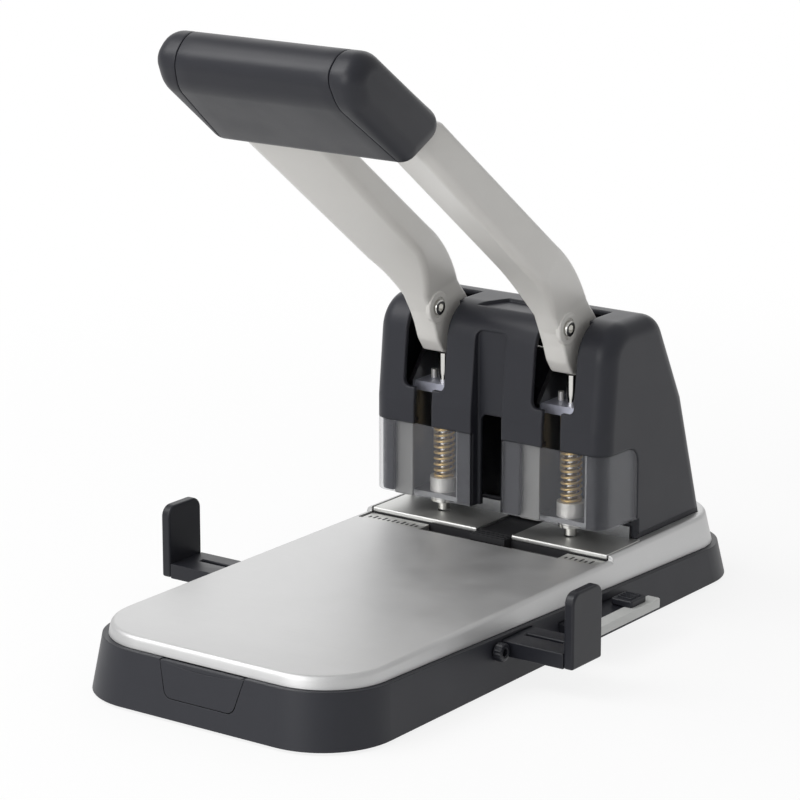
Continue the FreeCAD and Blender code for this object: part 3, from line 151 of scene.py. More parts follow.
@dataclass(frozen=True)
class Finish:
    """One real finish: its name, colour and the pattern that its making leaves.

    Attributes:
        name: The material's name.
        colour: Its colour as sRGB hex.
        roughness: The shader's roughness.
        metallic: 1 for bare metal, less where a skin dulls it, and 0 otherwise.
        grain_mm: The size of its surface grain or the spacing of its lines.
        relief_mm: How deep that grain is.
        mottle: How far the colour wanders, as a share.
        shine_spread: How far the roughness wanders.
        ior: Index of refraction, for what isn't metal.
        lines: The way its lines run, or nothing for an even grain.
        coat: Weight of a clear coat.
        coat_roughness: That coat's roughness.
        edge_mm: Radius at which light treats its sharp edges as rounded, or 0.
        drift_mm: The spacing at which its colour and sheen wander.
        noise_span: Where the noises' values mostly lie.
        least_roughness: The lowest that the wandering roughness falls to.
    """

    name: str
    colour: str
    roughness: float
    metallic: float = 0.0
    grain_mm: float = 0.6
    relief_mm: float = 0.01
    mottle: float = 0.05
    shine_spread: float = 0.05
    ior: float = 1.5
    lines: Direction | None = None
    coat: float = 0.0
    coat_roughness: float = 0.2
    edge_mm: float = 0.0
    drift_mm: float = 22.0
    noise_span: Flat = (0.3, 0.7)
    least_roughness: float = 0.02

    def build(self) -> Material:
        """Makes the node material: a fine grain in the bump, fine and coarse in colour and sheen."""
        material = bpy.data.materials.new(self.name)
        tree = empty_tree(material)
        coords = add_node(tree, "TexCoord").outputs["Object"]
        stretch = self.lines.value if self.lines else (1.0, 1.0, 1.0)
        lined = add_node(tree, "Mapping", {"Vector": coords, "Scale": stretch}).outputs["Vector"]
        fine = noise(tree, lined, self.grain_mm, detail=3.0, rough=0.6)
        broad = noise(tree, coords, self.drift_mm)
        both = add_node(tree, "Mix", {"Factor": 0.5, "A": fine, "B": broad}).outputs["Result"]
        shade = remap(tree, both, self.noise_span, (1.0 - self.mottle, 1.0 + self.mottle))
        colour = add_node(tree, "VectorMath", {0: linear(self.colour)[:3], 1: shade}, operation="MULTIPLY")
        smoothest = max(self.least_roughness, self.roughness - self.shine_spread)
        dullest = min(1.0, self.roughness + self.shine_spread)
        gloss = remap(tree, both, self.noise_span, (smoothest, dullest))
        bump = add_node(tree, "Bump", {"Height": fine, "Strength": 0.6, "Distance": self.relief_mm * MM})
        if self.edge_mm:
            rounded = add_node(tree, "Bevel", {"Radius": self.edge_mm * MM}, samples=6)
            tree.links.new(rounded.outputs["Normal"], bump.inputs["Normal"])
        shader = add_node(tree, "BsdfPrincipled", {
            "Base Color": colour.outputs["Vector"], "Roughness": gloss, "Metallic": self.metallic,
            "Normal": bump.outputs["Normal"], "Coat Weight": self.coat,
            "Coat Roughness": self.coat_roughness})
        if not self.metallic:
            shader.inputs["IOR"].default_value = self.ior
        add_node(tree, "OutputMaterial", {"Surface": shader.outputs["BSDF"]})
        return material


@dataclass(frozen=True)
class ClearPlastic:
    """Injection moulded clear polycarbonate: you look through it, and its edges gather light."""

    name: str = "clear_polycarbonate"
    tint: str = "96979c"
    roughness: float = 0.08
    scuffed: float = 0.1
    scuff_mm: float = 1.2
    scuff_span: Flat = (0.45, 0.8)
    ripple_mm: float = 9.0
    ripple_depth_mm: float = 0.02
    ior: float = 1.58
    body: float = 0.045
    rim: float = 0.6

    def build(self) -> Material:
        """Makes a see-through material with a faint ripple and small scuffs in its gloss."""
        material = bpy.data.materials.new(self.name)
        tree = empty_tree(material)
        coords = add_node(tree, "TexCoord").outputs["Object"]
        ripple = noise(tree, coords, self.ripple_mm)
        scuffs = noise(tree, coords, self.scuff_mm, detail=6.0, rough=0.75)
        gloss = remap(tree, scuffs, self.scuff_span, (self.roughness, self.roughness + self.scuffed))
        bump = add_node(tree, "Bump", {"Height": ripple, "Strength": 0.3,
                                       "Distance": self.ripple_depth_mm * MM})
        rim = add_node(tree, "LayerWeight", {"Blend": 0.3}).outputs["Facing"]
        shader = add_node(tree, "BsdfPrincipled", {
            "Base Color": linear(self.tint), "Roughness": gloss, "IOR": self.ior,
            "Alpha": remap(tree, rim, (0.0, 1.0), (self.body, self.rim)), "Normal": bump.outputs["Normal"]})
        add_node(tree, "OutputMaterial", {"Surface": shader.outputs["BSDF"]})
        return material


FINISHES = (
    # Moulded ABS, spark eroded tool: a soft sheen over a fine even grain.
    Finish("black_abs_satin", "1c1d23", 0.4, ior=1.4, grain_mm=0.7, relief_mm=0.012, mottle=0.06),
    # The same ABS on the tall housing, whose slots and recess have soft moulded edges.
    Finish("black_abs_housing", "27282e", 0.4, ior=1.36, grain_mm=0.7, relief_mm=0.012, mottle=0.06,
           edge_mm=1.8),
    # The same ABS on the low tray, a little duller.
    Finish("black_abs_tray", "26272d", 0.44, ior=1.4, grain_mm=0.8, relief_mm=0.014, edge_mm=0.6),
    # Glass filled nylon inside the well: matt and nearly black.
    Finish("black_nylon_matt", "1d1d20", 0.6, grain_mm=0.5, relief_mm=0.015, mottle=0.08),
    # Grip of soft dark grey ABS with a fine leathery grain.
    Finish("grey_abs_grip", "1e1f26", 0.42, ior=1.43, grain_mm=0.55, relief_mm=0.02),
    # Moulded nitrile rubber: matt, slightly dusty.
    Finish("nitrile_rubber", "1a1a1b", 0.85, grain_mm=0.9, relief_mm=0.03, mottle=0.12),
    # Stainless sheet, belt brushed across: long fine lines and a broad satin glow.
    Finish("brushed_stainless_sheet", "cdcdcd", 0.5, metallic=0.9, grain_mm=0.5, relief_mm=0.004,
           lines=Direction.ALONG_X),
    # Ground tool steel plates: grey with short cross lines.
    Finish("ground_steel_plate", "cfcfcd", 0.5, metallic=1.0, grain_mm=0.4, relief_mm=0.004,
           mottle=0.08, lines=Direction.ALONG_X),
    # Zinc plated pressed steel: cool grey, even and satin.
    Finish("zinc_plated_steel", "8c8d8f", 0.38, metallic=1.0, grain_mm=0.9, relief_mm=0.006,
           mottle=0.1),
    # Black oxide screws: dark, with a dull oiled shine.
    Finish("black_oxide_steel", "4a4a4c", 0.36, metallic=1.0, grain_mm=0.4, relief_mm=0.006,
           mottle=0.12),
    # Hardened and polished pins and rings: bright, with faint turning lines.
    Finish("polished_tool_steel", "d4d3cf", 0.14, metallic=1.0, grain_mm=0.25, relief_mm=0.002,
           mottle=0.03, shine_spread=0.04, lines=Direction.AROUND_Z),
    # Turned steel collars: satin rings round the axis.
    Finish("turned_steel_collar", "e2e0dc", 0.32, metallic=0.5, grain_mm=0.4, relief_mm=0.001,
           lines=Direction.AROUND_Z),
    # Anodised aluminium guide bars, pale blue grey.
    Finish("anodised_aluminium_bar", "c3c5d3", 0.42, metallic=0.7, grain_mm=0.3, relief_mm=0.004,
           mottle=0.04, lines=Direction.ALONG_X),
    # Brass plated spring wire, drawn: warm and bright.
    Finish("brass_plated_wire", "d8b879", 0.28, metallic=0.55, grain_mm=0.3, relief_mm=0.002),
    # Turned bearing brass.
    Finish("turned_brass", "b89b62", 0.3, metallic=1.0, grain_mm=0.3, relief_mm=0.003,
           lines=Direction.AROUND_X),
    # Powder coat over cast arms: warm light grey with a fine orange peel.
    Finish("warm_grey_powder_coat", "cbc9c5", 0.36, grain_mm=1.1, relief_mm=0.012, mottle=0.02,
           coat=0.25, coat_roughness=0.3),
    # Yellow passivated zinc on the pressed brackets: a warm, pale, satin metal.
    Finish("yellow_zinc_steel", "c9b899", 0.34, metallic=1.0, grain_mm=0.8, relief_mm=0.004,
           mottle=0.08),
    # Plain grey styrene panel, smooth from a polished tool.
    Finish("grey_styrene_panel", "8b8b89", 0.35, grain_mm=0.9, relief_mm=0.006, mottle=0.04),
    # Black styrene, polished: it mirrors the light like a screen.
    Finish("black_gloss_styrene", "121214", 0.12, grain_mm=1.2, relief_mm=0.003, mottle=0.03,
           shine_spread=0.03),
    # Light grey moulded edge of the format slide.
    Finish("light_grey_abs", "c3c4c2", 0.45, grain_mm=0.7, relief_mm=0.012, mottle=0.03),
    ClearPlastic(),
)


class Finishes:
    """Hands out the finishes by name, and makes each of them once."""

    def __init__(self) -> None:
        """Knows every finish, and has made none."""
        self.known: dict[str, Finish | ClearPlastic] = {finish.name: finish for finish in FINISHES}
        self.made: dict[str, Material] = {}

    def get(self, name: str) -> Material:
        """Gives a finish's material, made the first time that it is asked for."""
        if name not in self.made:
            self.made[name] = self.known[name].build()
        return self.made[name]


def pair(*stems: str) -> tuple[str, ...]:
    """Names the left and the right node of each stem."""
    return tuple(f"{stem}_{name}" for stem in stems for name, _ in SIDES)


NODE_FINISHES: dict[str, tuple[str, ...]] = {
    "black_abs_housing": ("housing_shell",),
    "black_abs_satin": ("rear_panel", "slide_stop", *pair("guide_arm", "guide_fence")),
    "black_abs_tray": ("base_tray", "guide_lock_screws", "drawer_front"),
    "black_nylon_matt": ("die_carrier", "chip_chute", "chip_drawer"),
    "grey_abs_grip": ("grip_shell", "grip_core", *pair("grip_cap")),
    "nitrile_rubber": ("foot_pad_front", "foot_pad_rear"),
    "brushed_stainless_sheet": ("table_cover",),
    "ground_steel_plate": pair("die_plate"),
    "zinc_plated_steel": ("chassis_plate", "paper_stop",
                          *pair("punch_frame", "lower_bridge", "guide_sleeve")),
    "black_oxide_steel": ("chassis_screws", "frame_screws", "arm_screws", "shaft_clips"),
    "polished_tool_steel": ("pivot_shaft", *pair("die_bush", "punch_pin", "spring_clip", "stripper_ring")),
    "turned_steel_collar": ("guide_bar_screws", *pair("guide_collar")),
    "anodised_aluminium_bar": pair("upper_guide_bar"),
    "brass_plated_wire": pair("return_spring"),
    "turned_brass": ("arm_bushes",),
    "warm_grey_powder_coat": pair("lever_arm"),
    "light_grey_abs": ("format_slide",),
    "clear_polycarbonate": pair("guard"),
}


def dress(target: Object, material: Material) -> None:
    """Gives an object one material in its only slot."""
    target.data.materials.clear()
    target.data.materials.append(material)


# ---------------- shapes


def unit(arrows: Grid) -> Grid:
    """Gives arrows of length one: each is divided by its own length."""
    return arrows / np.linalg.norm(arrows, axis=-1, keepdims=True)


def rounded_outline(corners: Grid | Sequence, radii: float | Sequence | Grid, steps: int) -> Outline:
    """Rounds each corner of a closed flat outline, or of a whole stack of them at once.

    The arc at a corner touches both of its sides: its centre lies on the corner's bisector at
    radius / sin(half the corner's angle), and it starts and ends radius / tan(half) from the corner.

    Args:
        corners: Corner points, (..., corners, 2), in millimetres.
        radii: One radius, or one for each corner.
        steps: Flat pieces in each arc.

    Returns:
        The outline's points and, for each, the flat direction that points outwards.
    """
    corners = np.asarray(corners, float)
    radii = np.broadcast_to(np.asarray(radii, float), corners.shape[:-1])
    back = unit(np.roll(corners, 1, axis=-2) - corners)
    ahead = unit(np.roll(corners, -1, axis=-2) - corners)
    half = np.arccos(np.clip(np.sum(back * ahead, axis=-1), -1.0, 1.0)) / 2
    reach = (radii / np.tan(half))[..., None]
    centre = corners + unit(back + ahead) * (radii / np.sin(half))[..., None]
    start, end = corners + back * reach - centre, corners + ahead * reach - centre
    first = np.arctan2(start[..., 1], start[..., 0])
    turn = (np.arctan2(end[..., 1], end[..., 0]) - first + np.pi) % (2 * np.pi) - np.pi
    angles = first[..., None] + turn[..., None] * np.linspace(0.0, 1.0, steps + 1)
    rays = np.stack([np.cos(angles), np.sin(angles)], axis=-1)
    points = centre[..., None, :] + rays * radii[..., None, None]
    way = np.sign(turn) * np.sign(np.sum(turn, axis=-1, keepdims=True))
    flat = (*corners.shape[:-2], -1, 2)
    return points.reshape(flat), (rays * way[..., None, None]).reshape(flat)


def slab(outline: Outline, low: float, high: float, edge_low: float, edge_high: float,
         steps: int = 4) -> Grid:
    """Carries an outline from one level to another with a quarter round along both rims.

    At an angle a on a rim of radius r the outline lies r (1 - sin a) inside its full size, and its
    level lies r (1 - cos a) from the end.  The grid has one row for each level.
    """
    points, outward = outline
    turn = np.linspace(0.0, np.pi / 2, steps + 1)
    inset = np.concatenate([edge_low * (1 - np.sin(turn)), edge_high * (1 - np.cos(turn))])
    level = np.concatenate([low + edge_low * (1 - np.cos(turn)), high - edge_high * (1 - np.sin(turn))])
    flat = points - inset[:, None, None] * outward
    return np.concatenate([flat, np.broadcast_to(level[:, None, None], (*flat.shape[:2], 1))], axis=-1)


def plate(low: Point, high: Point, rounds: float | Floats, edges: float | Flat,
          steps: tuple[int, int] = (5, 4)) -> Grid:
    """Gives a plate between two corners.

    Args:
        low: Its low corner.
        high: Its high corner.
        rounds: Radius of its upright edges, or one for each, anticlockwise from the low corner.
        edges: Radius of its rims, or of the lower and the upper one.
        steps: Flat pieces in each upright edge and in each rim.
    """
    corners = [(low[0], low[1]), (high[0], low[1]), (high[0], high[1]), (low[0], high[1])]
    edge_low, edge_high = np.broadcast_to(edges, 2)
    return slab(rounded_outline(corners, rounds, steps[0]), low[2], high[2], edge_low, edge_high, steps[1])


def lathe(profile: Sequence[Flat], count: int = 48, ripple: float = 0.0, teeth: int = 0) -> Grid:
    """Turns a profile of (radius, level) pairs round the up axis.

    The radius at an angle t is the profile's own radius less ripple (1 - cos(teeth t)) / 2, so a
    ripple makes flutes.  The grid has one row for each pair and ``count`` points in it.
    """
    radius, level = (np.asarray(column, float)[:, None] for column in zip(*profile))
    angle = np.linspace(0.0, 2 * np.pi, count, endpoint=False)
    radius = np.maximum(radius - ripple * (1 - np.cos(teeth * angle)) / 2, 0.0)
    return np.stack([radius * np.cos(angle), radius * np.sin(angle),
                     np.broadcast_to(level, radius.shape)], axis=-1)


def rim(radius: float, level: float, edge: float, cut: float) -> list[Flat]:
    """Gives a turned rim: where it leaves the side, its middle, and where it meets the end."""
    return [(radius, level - edge), (radius - cut, level - cut), (radius - edge, level)]


def socket_rows(across: float, top: float, floor: float, count: int = 48) -> Grid:
    """Gives the rows of a six-sided socket: its rim, its foot and its middle.

    At an angle t the radius is (across / 2) / cos(u), where u is t brought to within 30 degrees of
    the middle of its own flat.
    """
    angle = np.linspace(0.0, 2 * np.pi, count, endpoint=False)
    radius = across / 2 / np.cos(np.mod(angle + np.pi / 6, np.pi / 3) - np.pi / 6)
    radius = radius * np.array([1.0, 1.0, 0.0])[:, None]
    level = np.array([top, floor, floor])[:, None] + np.zeros(count)
    return np.stack([radius * np.cos(angle), radius * np.sin(angle), level], axis=-1)


@dataclass(frozen=True)
class Axes:
    """Where a drawn shape lies in the model: a start in millimetres and three directions."""

    start: Point = (0.0, 0.0, 0.0)
    across: Point = (1.0, 0.0, 0.0)
    along: Point = (0.0, 1.0, 0.0)
    up: Point = (0.0, 0.0, 1.0)

    def place(self, drawn: Grid) -> Grid:
        """Turns drawn coordinates to model ones: start + u across + v along + w up."""
        return drawn @ np.array([self.across, self.along, self.up], float) + np.array(self.start, float)


def facing(y: float) -> Axes:
    """Drawing plane that faces the front: X across, Z along, and up is towards the front from Y."""
    return Axes((0.0, y, 0.0), (1.0, 0.0, 0.0), (0.0, 0.0, 1.0), (0.0, -1.0, 0.0))


def sideways(x: float, y: float = 0.0, z: float = 0.0, side: float = 1.0) -> Axes:
    """Drawing plane that faces one side: Y across, Z along, and up is away from X on that side."""
    return Axes((x, y, z), (0.0, 1.0, 0.0), (0.0, 0.0, 1.0), (side, 0.0, 0.0))


def settle(mesh: bpy.types.Mesh, sharp: float, flat: float = 0.0) -> None:
    """Merges a mesh's doubles, turns its faces outwards and smooths it but for its sharp edges.

    Edges that turn by more than ``sharp`` degrees stay sharp, and faces that turn by less than
    ``flat`` become one.
    """
    work = bmesh.new()
    work.from_mesh(mesh)
    bmesh.ops.remove_doubles(work, verts=work.verts, dist=WELD)
    if flat:
        bmesh.ops.dissolve_limit(work, angle_limit=math.radians(flat), verts=work.verts, edges=work.edges)
    bmesh.ops.recalc_face_normals(work, faces=work.faces)
    work.to_mesh(mesh)
    work.free()
    mesh.shade_smooth()
    mesh.set_sharp_from_angle(angle=math.radians(sharp))


class Shape:
    """Gathers closed surfaces into one mesh, whose edges are sharp past a turn in degrees."""

    SHARP_TURN = 32.0

    def __init__(self) -> None:
        """Starts empty."""
        self.points: list[Grid] = []
        self.faces: list[list[int]] = []
        self.count = 0

    def add(self, grid: Grid, axes: Axes = Axes()) -> Shape:
        """Adds a surface of rows that close on themselves, with a flat face over both ends.

        The grid is (rows, points in a row, 3), in millimetres, and the axes say where it lies.
        """
        index = np.arange(grid.shape[0] * grid.shape[1]).reshape(grid.shape[:2]) + self.count
        following = np.roll(index, -1, axis=1)
        quads = np.stack([index[:-1], following[:-1], following[1:], index[1:]], axis=-1)
        self.faces += quads.reshape(-1, 4).tolist() + [index[0, ::-1].tolist(), index[-1].tolist()]
        self.points.append(axes.place(grid).reshape(-1, 3) * MM)
        self.count += index.size
        return self

    def mesh(self, name: str) -> bpy.types.Mesh:
        """Makes the mesh from what was added."""
        mesh = bpy.data.meshes.new(name)
        mesh.from_pydata(np.concatenate(self.points).tolist(), [], self.faces)
        settle(mesh, self.SHARP_TURN)
        return mesh


@dataclass
class Workshop:
    """What every sub-assembly needs to add its pieces: the model's nodes and the finishes.

    In a softened copy, faces that turn by less than ``flat_turn`` degrees become one, and edges that
    turn by more than ``sharp_turn`` are rounded.
    """

    nodes: dict[str, Object]
    finishes: Finishes
    flat_turn: float = 0.1
    sharp_turn: float = 35.0

    def add(self, piece: Object, body: str, slot: str, finish: str, stands_for: Sequence[str]) -> None:
        """Links a piece, dresses it, hangs it on its body and hides the nodes that it stands for."""
        bpy.context.scene.collection.objects.link(piece)
        dress(piece, self.finishes.get(finish))
        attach(piece, body)
        if stands_for:
            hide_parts(*stands_for)
        LOG.info("%-24s on %-11s %6d faces", piece.name, body, len(piece.data.polygons))

    def make(self, name: str, shape: Shape, body: str, slot: str, finish: str, *stands_for: str) -> None:
        """Adds a piece from a shape; ``stands_for`` names the construction nodes that it replaces."""
        piece = bpy.data.objects.new(name, shape.mesh(name))
        self.add(piece, body, slot, finish, stands_for)

    def soften(self, node: str, body: str, slot: str, finish: str, edge: float, steps: int = 2) -> None:
        """Adds a copy of a construction node with rounded edges, and lets it stand for the node.

        The edge is the rounding's width in millimetres, made of that many steps.
        """
        mesh = self.nodes[node].data.copy()
        settle(mesh, self.sharp_turn, self.flat_turn)
        piece = bpy.data.objects.new(node + "_soft", mesh)
        bevel = piece.modifiers.new("rounded_edges", "BEVEL")
        bevel.width = edge * MM
        bevel.segments = steps
        bevel.limit_method = "ANGLE"
        bevel.angle_limit = math.radians(self.sharp_turn)
        bevel.use_clamp_overlap = False
        bevel.harden_normals = True
        self.add(piece, body, slot, finish, (node,))


# ---------------- lever


class LeverArms:
    """The two cast arms with their cams, bosses and socket screws, in millimetres and degrees.

    A place such as ``pivot`` is Y and Z.  A form such as ``knee_form`` is how far a section's inner
    front corner is set back, and its inner and outer X.
    """

    pin_x = 40.0
    half_thick = 7.0
    side_inset = 0.14
    pivot = (16.0, 134.0)
    contact_z = 124.0
    cam_span = (24.0, -21.0)
    eye_radius = 11.5
    eye_span = (-140.0, 85.0)
    tip = (-10.6, 126.6)
    root = (-22.5, 149.5)
    temple = (-24.4, 155.6)
    nape = (7.4, 157.4)
    nape_reach = 1.5
    brow = ((-18.8, 142.0), (-15.6, 133.5))
    front_rounds = (0.5, 12.0, 14.0, 14.0, 3.6)
    outline_round = 0.4
    root_depth = 35.0
    root_cant = 0.2
    root_inset = 0.12
    neck_share = 0.45
    neck_swell = 0.3
    neck_round = 3.0
    knee = (-37.5, 169.0)
    knee_angle = 20.0
    knee_depth = 29.5
    knee_form = (5.0, 27.0, 51.0)
    upper_form = (8.2, 22.5, 55.0)
    end_form = (9.4, 20.0, 57.0)
    tail_form = (11.0, 24.0, 53.0)
    arm_rise = 38.0
    bend_length = 18.0
    arm_length = 145.0
    arm_depth = 25.0
    end_depth = 22.4
    tail = 14.0
    tail_taper = 4.0
    root_round = 1.4
    arm_round = 4.6
    boss = (-16.5, 152.0)
    boss_radius = 8.4
    boss_height = 0.9
    boss_edge = 0.5
    boss_sunk = 1.5
    dish_radii = (5.6, 5.3, 3.2)
    dish_depth = 0.7
    screw_radius = 4.1
    screw_height = 1.2
    screw_sunk = 0.9
    screw_edge = 0.5
    screw_cut = 0.15
    socket_across = 4.0
    socket_depth = 1.3

    def stations(self) -> Grid:
        """Gives the arm's sections from root to grip.

        Between neck and upper arm each value follows a Bezier arc a (1-t)^2 + 2 b t (1-t) + c t^2.

        Returns:
            Rows of lower front Y and Z, lean, depth, cant, inner X, outer X and edge radius.
        """
        turn = math.radians(self.arm_rise)
        lean = 90.0 - self.arm_rise
        inner, outer = self.pin_x - self.half_thick, self.pin_x + self.half_thick

        def ahead(distance: float, depth: float, form: Point) -> Grid:
            """The section at a distance along the upper arm."""
            y, z = self.knee[0] - distance * math.cos(turn), self.knee[1] + distance * math.sin(turn)
            return np.array([y, z, lean, depth, *form, self.arm_round])

        root = np.array([*self.root, 0.0, self.root_depth, self.root_cant, inner + self.root_inset,
                         outer - self.root_inset, self.root_round])
        bend = np.array([*self.knee, self.knee_angle, self.knee_depth, *self.knee_form, self.arm_round])
        upper = ahead(self.bend_length, self.arm_depth, self.upper_form)
        end = ahead(self.arm_length, self.end_depth, self.end_form)
        tail = ahead(self.arm_length + self.tail, self.end_depth - self.tail_taper, self.tail_form)
        neck = root + (bend - root) * self.neck_share
        neck[5:8] = inner - self.neck_swell, outer + self.neck_swell, self.neck_round
        t = np.linspace(0.0, 1.0, 19)[:, None]
        curve = neck * (1 - t) ** 2 + 2 * bend * t * (1 - t) + upper * t ** 2
        t = np.linspace(0.0, 1.0, 7)[1:, None]
        return np.vstack([root, root + (neck - root) * 0.5, curve, upper + (end - upper) * t, tail])

    def beam(self, side: float) -> Grid:
        """Gives the arm's skin: a rounded four-sided section at every station."""
        y, z, lean, depth, cant, inner, outer, radius = self.stations().T
        corners = np.stack([np.stack([inner, cant], -1), np.stack([outer, 0 * cant], -1),
                            np.stack([outer, depth], -1), np.stack([inner, depth], -1)], axis=-2)
        drawn, _ = rounded_outline(corners, radius[:, None], 6)
        across, reach = drawn[..., 0] * side, drawn[..., 1]
        turn = np.radians(lean)[:, None]
        return np.stack([across, y[:, None] + reach * np.cos(turn), z[:, None] + reach * np.sin(turn)], -1)

    def root_outline(self) -> Outline:
        """Gives the flat lower end seen from the side: tip, cam face, eye and neck.

        A cam point at an angle a of press is (-reach, -drop - reach a) turned back by a about the pivot.
        """
        y, z = self.pivot
        angle = np.radians(np.linspace(*self.cam_span, 8))
        drop = -(z - self.contact_z) - y * angle
        cam = np.stack([y - y * np.cos(angle) + drop * np.sin(angle),
                        z + y * np.sin(angle) + drop * np.cos(angle)], axis=-1)
        turn = np.radians(np.linspace(*self.eye_span, 16))
        eye = np.stack([y + self.eye_radius * np.cos(turn), z + self.eye_radius * np.sin(turn)], axis=-1)
        collar = (self.root_depth + self.root[0] + self.nape_reach, self.root[1])
        corners = np.vstack([self.temple, self.root, *self.brow, self.tip, cam, eye, collar, self.nape])
        radii = np.full(len(corners), self.outline_round)
        radii[:len(self.front_rounds)] = self.front_rounds
        return rounded_outline(corners, radii, 3)

    def build(self, shop: Workshop) -> None:
        """Builds both arms and their screws."""
        screws = Shape()
        for name, side in SIDES:
            arm = Shape().add(self.beam(side))
            edge, half = self.root_round, self.half_thick - self.side_inset
            arm.add(slab(self.root_outline(), -half, half, edge, edge), sideways(self.pin_x * side))
            top, radius = self.boss_height, self.boss_radius
            seat = sideways(self.pin_x * side + self.half_thick, *self.boss)
            dish, foot, middle = self.dish_radii
            floor = top - self.dish_depth
            arm.add(lathe([(0.0, -self.boss_sunk), (radius, -self.boss_sunk), (radius, top - self.boss_edge),
                           (radius - self.boss_edge, top), (dish, top), (foot, floor), (middle, floor),
                           (0.0, floor)]), seat)
            shop.make(f"arm_{name}_cast", arm, "lever", "arm_paint", "warm_grey_powder_coat",
                      f"lever_arm_{name}")
            low, high = top - self.screw_sunk, top + self.screw_height
            head = lathe([(0.0, low), (self.screw_radius, low),
                          *rim(self.screw_radius, high, self.screw_edge, self.screw_cut)])
            socket = socket_rows(self.socket_across, high, high - self.socket_depth)
            screws.add(np.concatenate([head, socket]), seat)
        shop.make("arm_socket_screws", screws, "lever", "screw_steel", "polished_tool_steel", "arm_screws")


class Grip:
    """The wide handle: a body and two end caps with a slanted seam, drawn in its own frame."""

    start = (0.0, -155.0, 250.0)
    rise = 38.0
    corners = ((-15.0, 0.0), (-67.5, 0.0), (-81.0, 8.0), (-79.0, 28.5), (1.0, 32.5))
    radii = (9.2, 18.0, 10.0, 14.0, 9.2)
    half_width = 59.5
    end_round = 9.0
    seam_nose = 44.0
    seam_rear = 52.5
    seam_bend = 1.6
    nose_y = -80.0
    seam_gap = 0.3
    lip = 0.5
    lip_steps = (0.0, 0.25, 0.55, 1.0)

    def axes(self) -> Axes:
        """The grip's own frame: towards the rear along the arm, then square to it, then X."""
        along, square = math.cos(math.radians(self.rise)), math.sin(math.radians(self.rise))
        return Axes(self.start, (0.0, along, -square), (0.0, square, along), (1.0, 0.0, 0.0))

    def skin(self, x: Grid, seams: Sequence[float]) -> Grid:
        """Gives the grip's surface over rows of X.

        Past half_width - end_round the outline shrinks by r - sqrt(r^2 - d^2), a quarter round, and
        beside each seam it shrinks by a small quarter round of its own.  ``x`` is (rows, outline
        points), and ``seams`` says how far each row lies from the nearest seam.
        """
        points, outward = rounded_outline(self.corners, self.radii, 9)
        past = np.clip(np.abs(x) - (self.half_width - self.end_round), 0.0, self.end_round)
        inset = self.end_round - np.sqrt(self.end_round ** 2 - past ** 2)
        near = np.clip(self.lip - np.asarray(seams, float), 0.0, self.lip)[:, None]
        inset = inset + self.lip - np.sqrt(self.lip ** 2 - near ** 2)
        flat = points - inset[..., None] * outward
        return np.concatenate([flat, x[..., None]], axis=-1)

    def seam_x(self) -> Grid:
        """Gives X of the right seam at every point of the outline: it slants from rear to nose."""
        points, _ = rounded_outline(self.corners, self.radii, 9)
        share = np.clip(points[:, 0] / self.nose_y, 0.0, 1.0)
        return self.seam_rear + (self.seam_nose - self.seam_rear) * share ** self.seam_bend

    def build(self, shop: Workshop) -> None:
        """Builds the body and both caps."""
        near = np.array(self.lip_steps) * self.lip
        seam = self.seam_x()
        rows = np.linspace(-1.0, 1.0, 13)[:, None] * (seam - near[-1])
        low = -seam + near[:-1, None]
        x = np.concatenate([low, rows, -low[::-1]])
        distance = np.concatenate([near[:-1], np.full(len(rows), self.lip), near[:-1][::-1]])
        body = Shape().add(self.skin(x, distance), self.axes())
        shop.make("grip_body", body, "lever", "grip_plastic", "grey_abs_grip", "grip_shell")
        for name, side in SIDES:
            first = seam + self.seam_gap
            bend = np.sin(np.linspace(0.0, np.pi / 2, 14))[1:, None]
            start = first + near[-1]
            x = np.concatenate([first + near[:, None], start + (self.half_width - start) * bend])
            distance = np.concatenate([near, np.full(len(bend), self.lip)])
            cap = Shape().add(self.skin(x, distance) * np.array([1.0, 1.0, side]), self.axes())
            shop.make(f"grip_end_{name}", cap, "lever", "grip_plastic", "grey_abs_grip", f"grip_cap_{name}")


# ---------------- towers


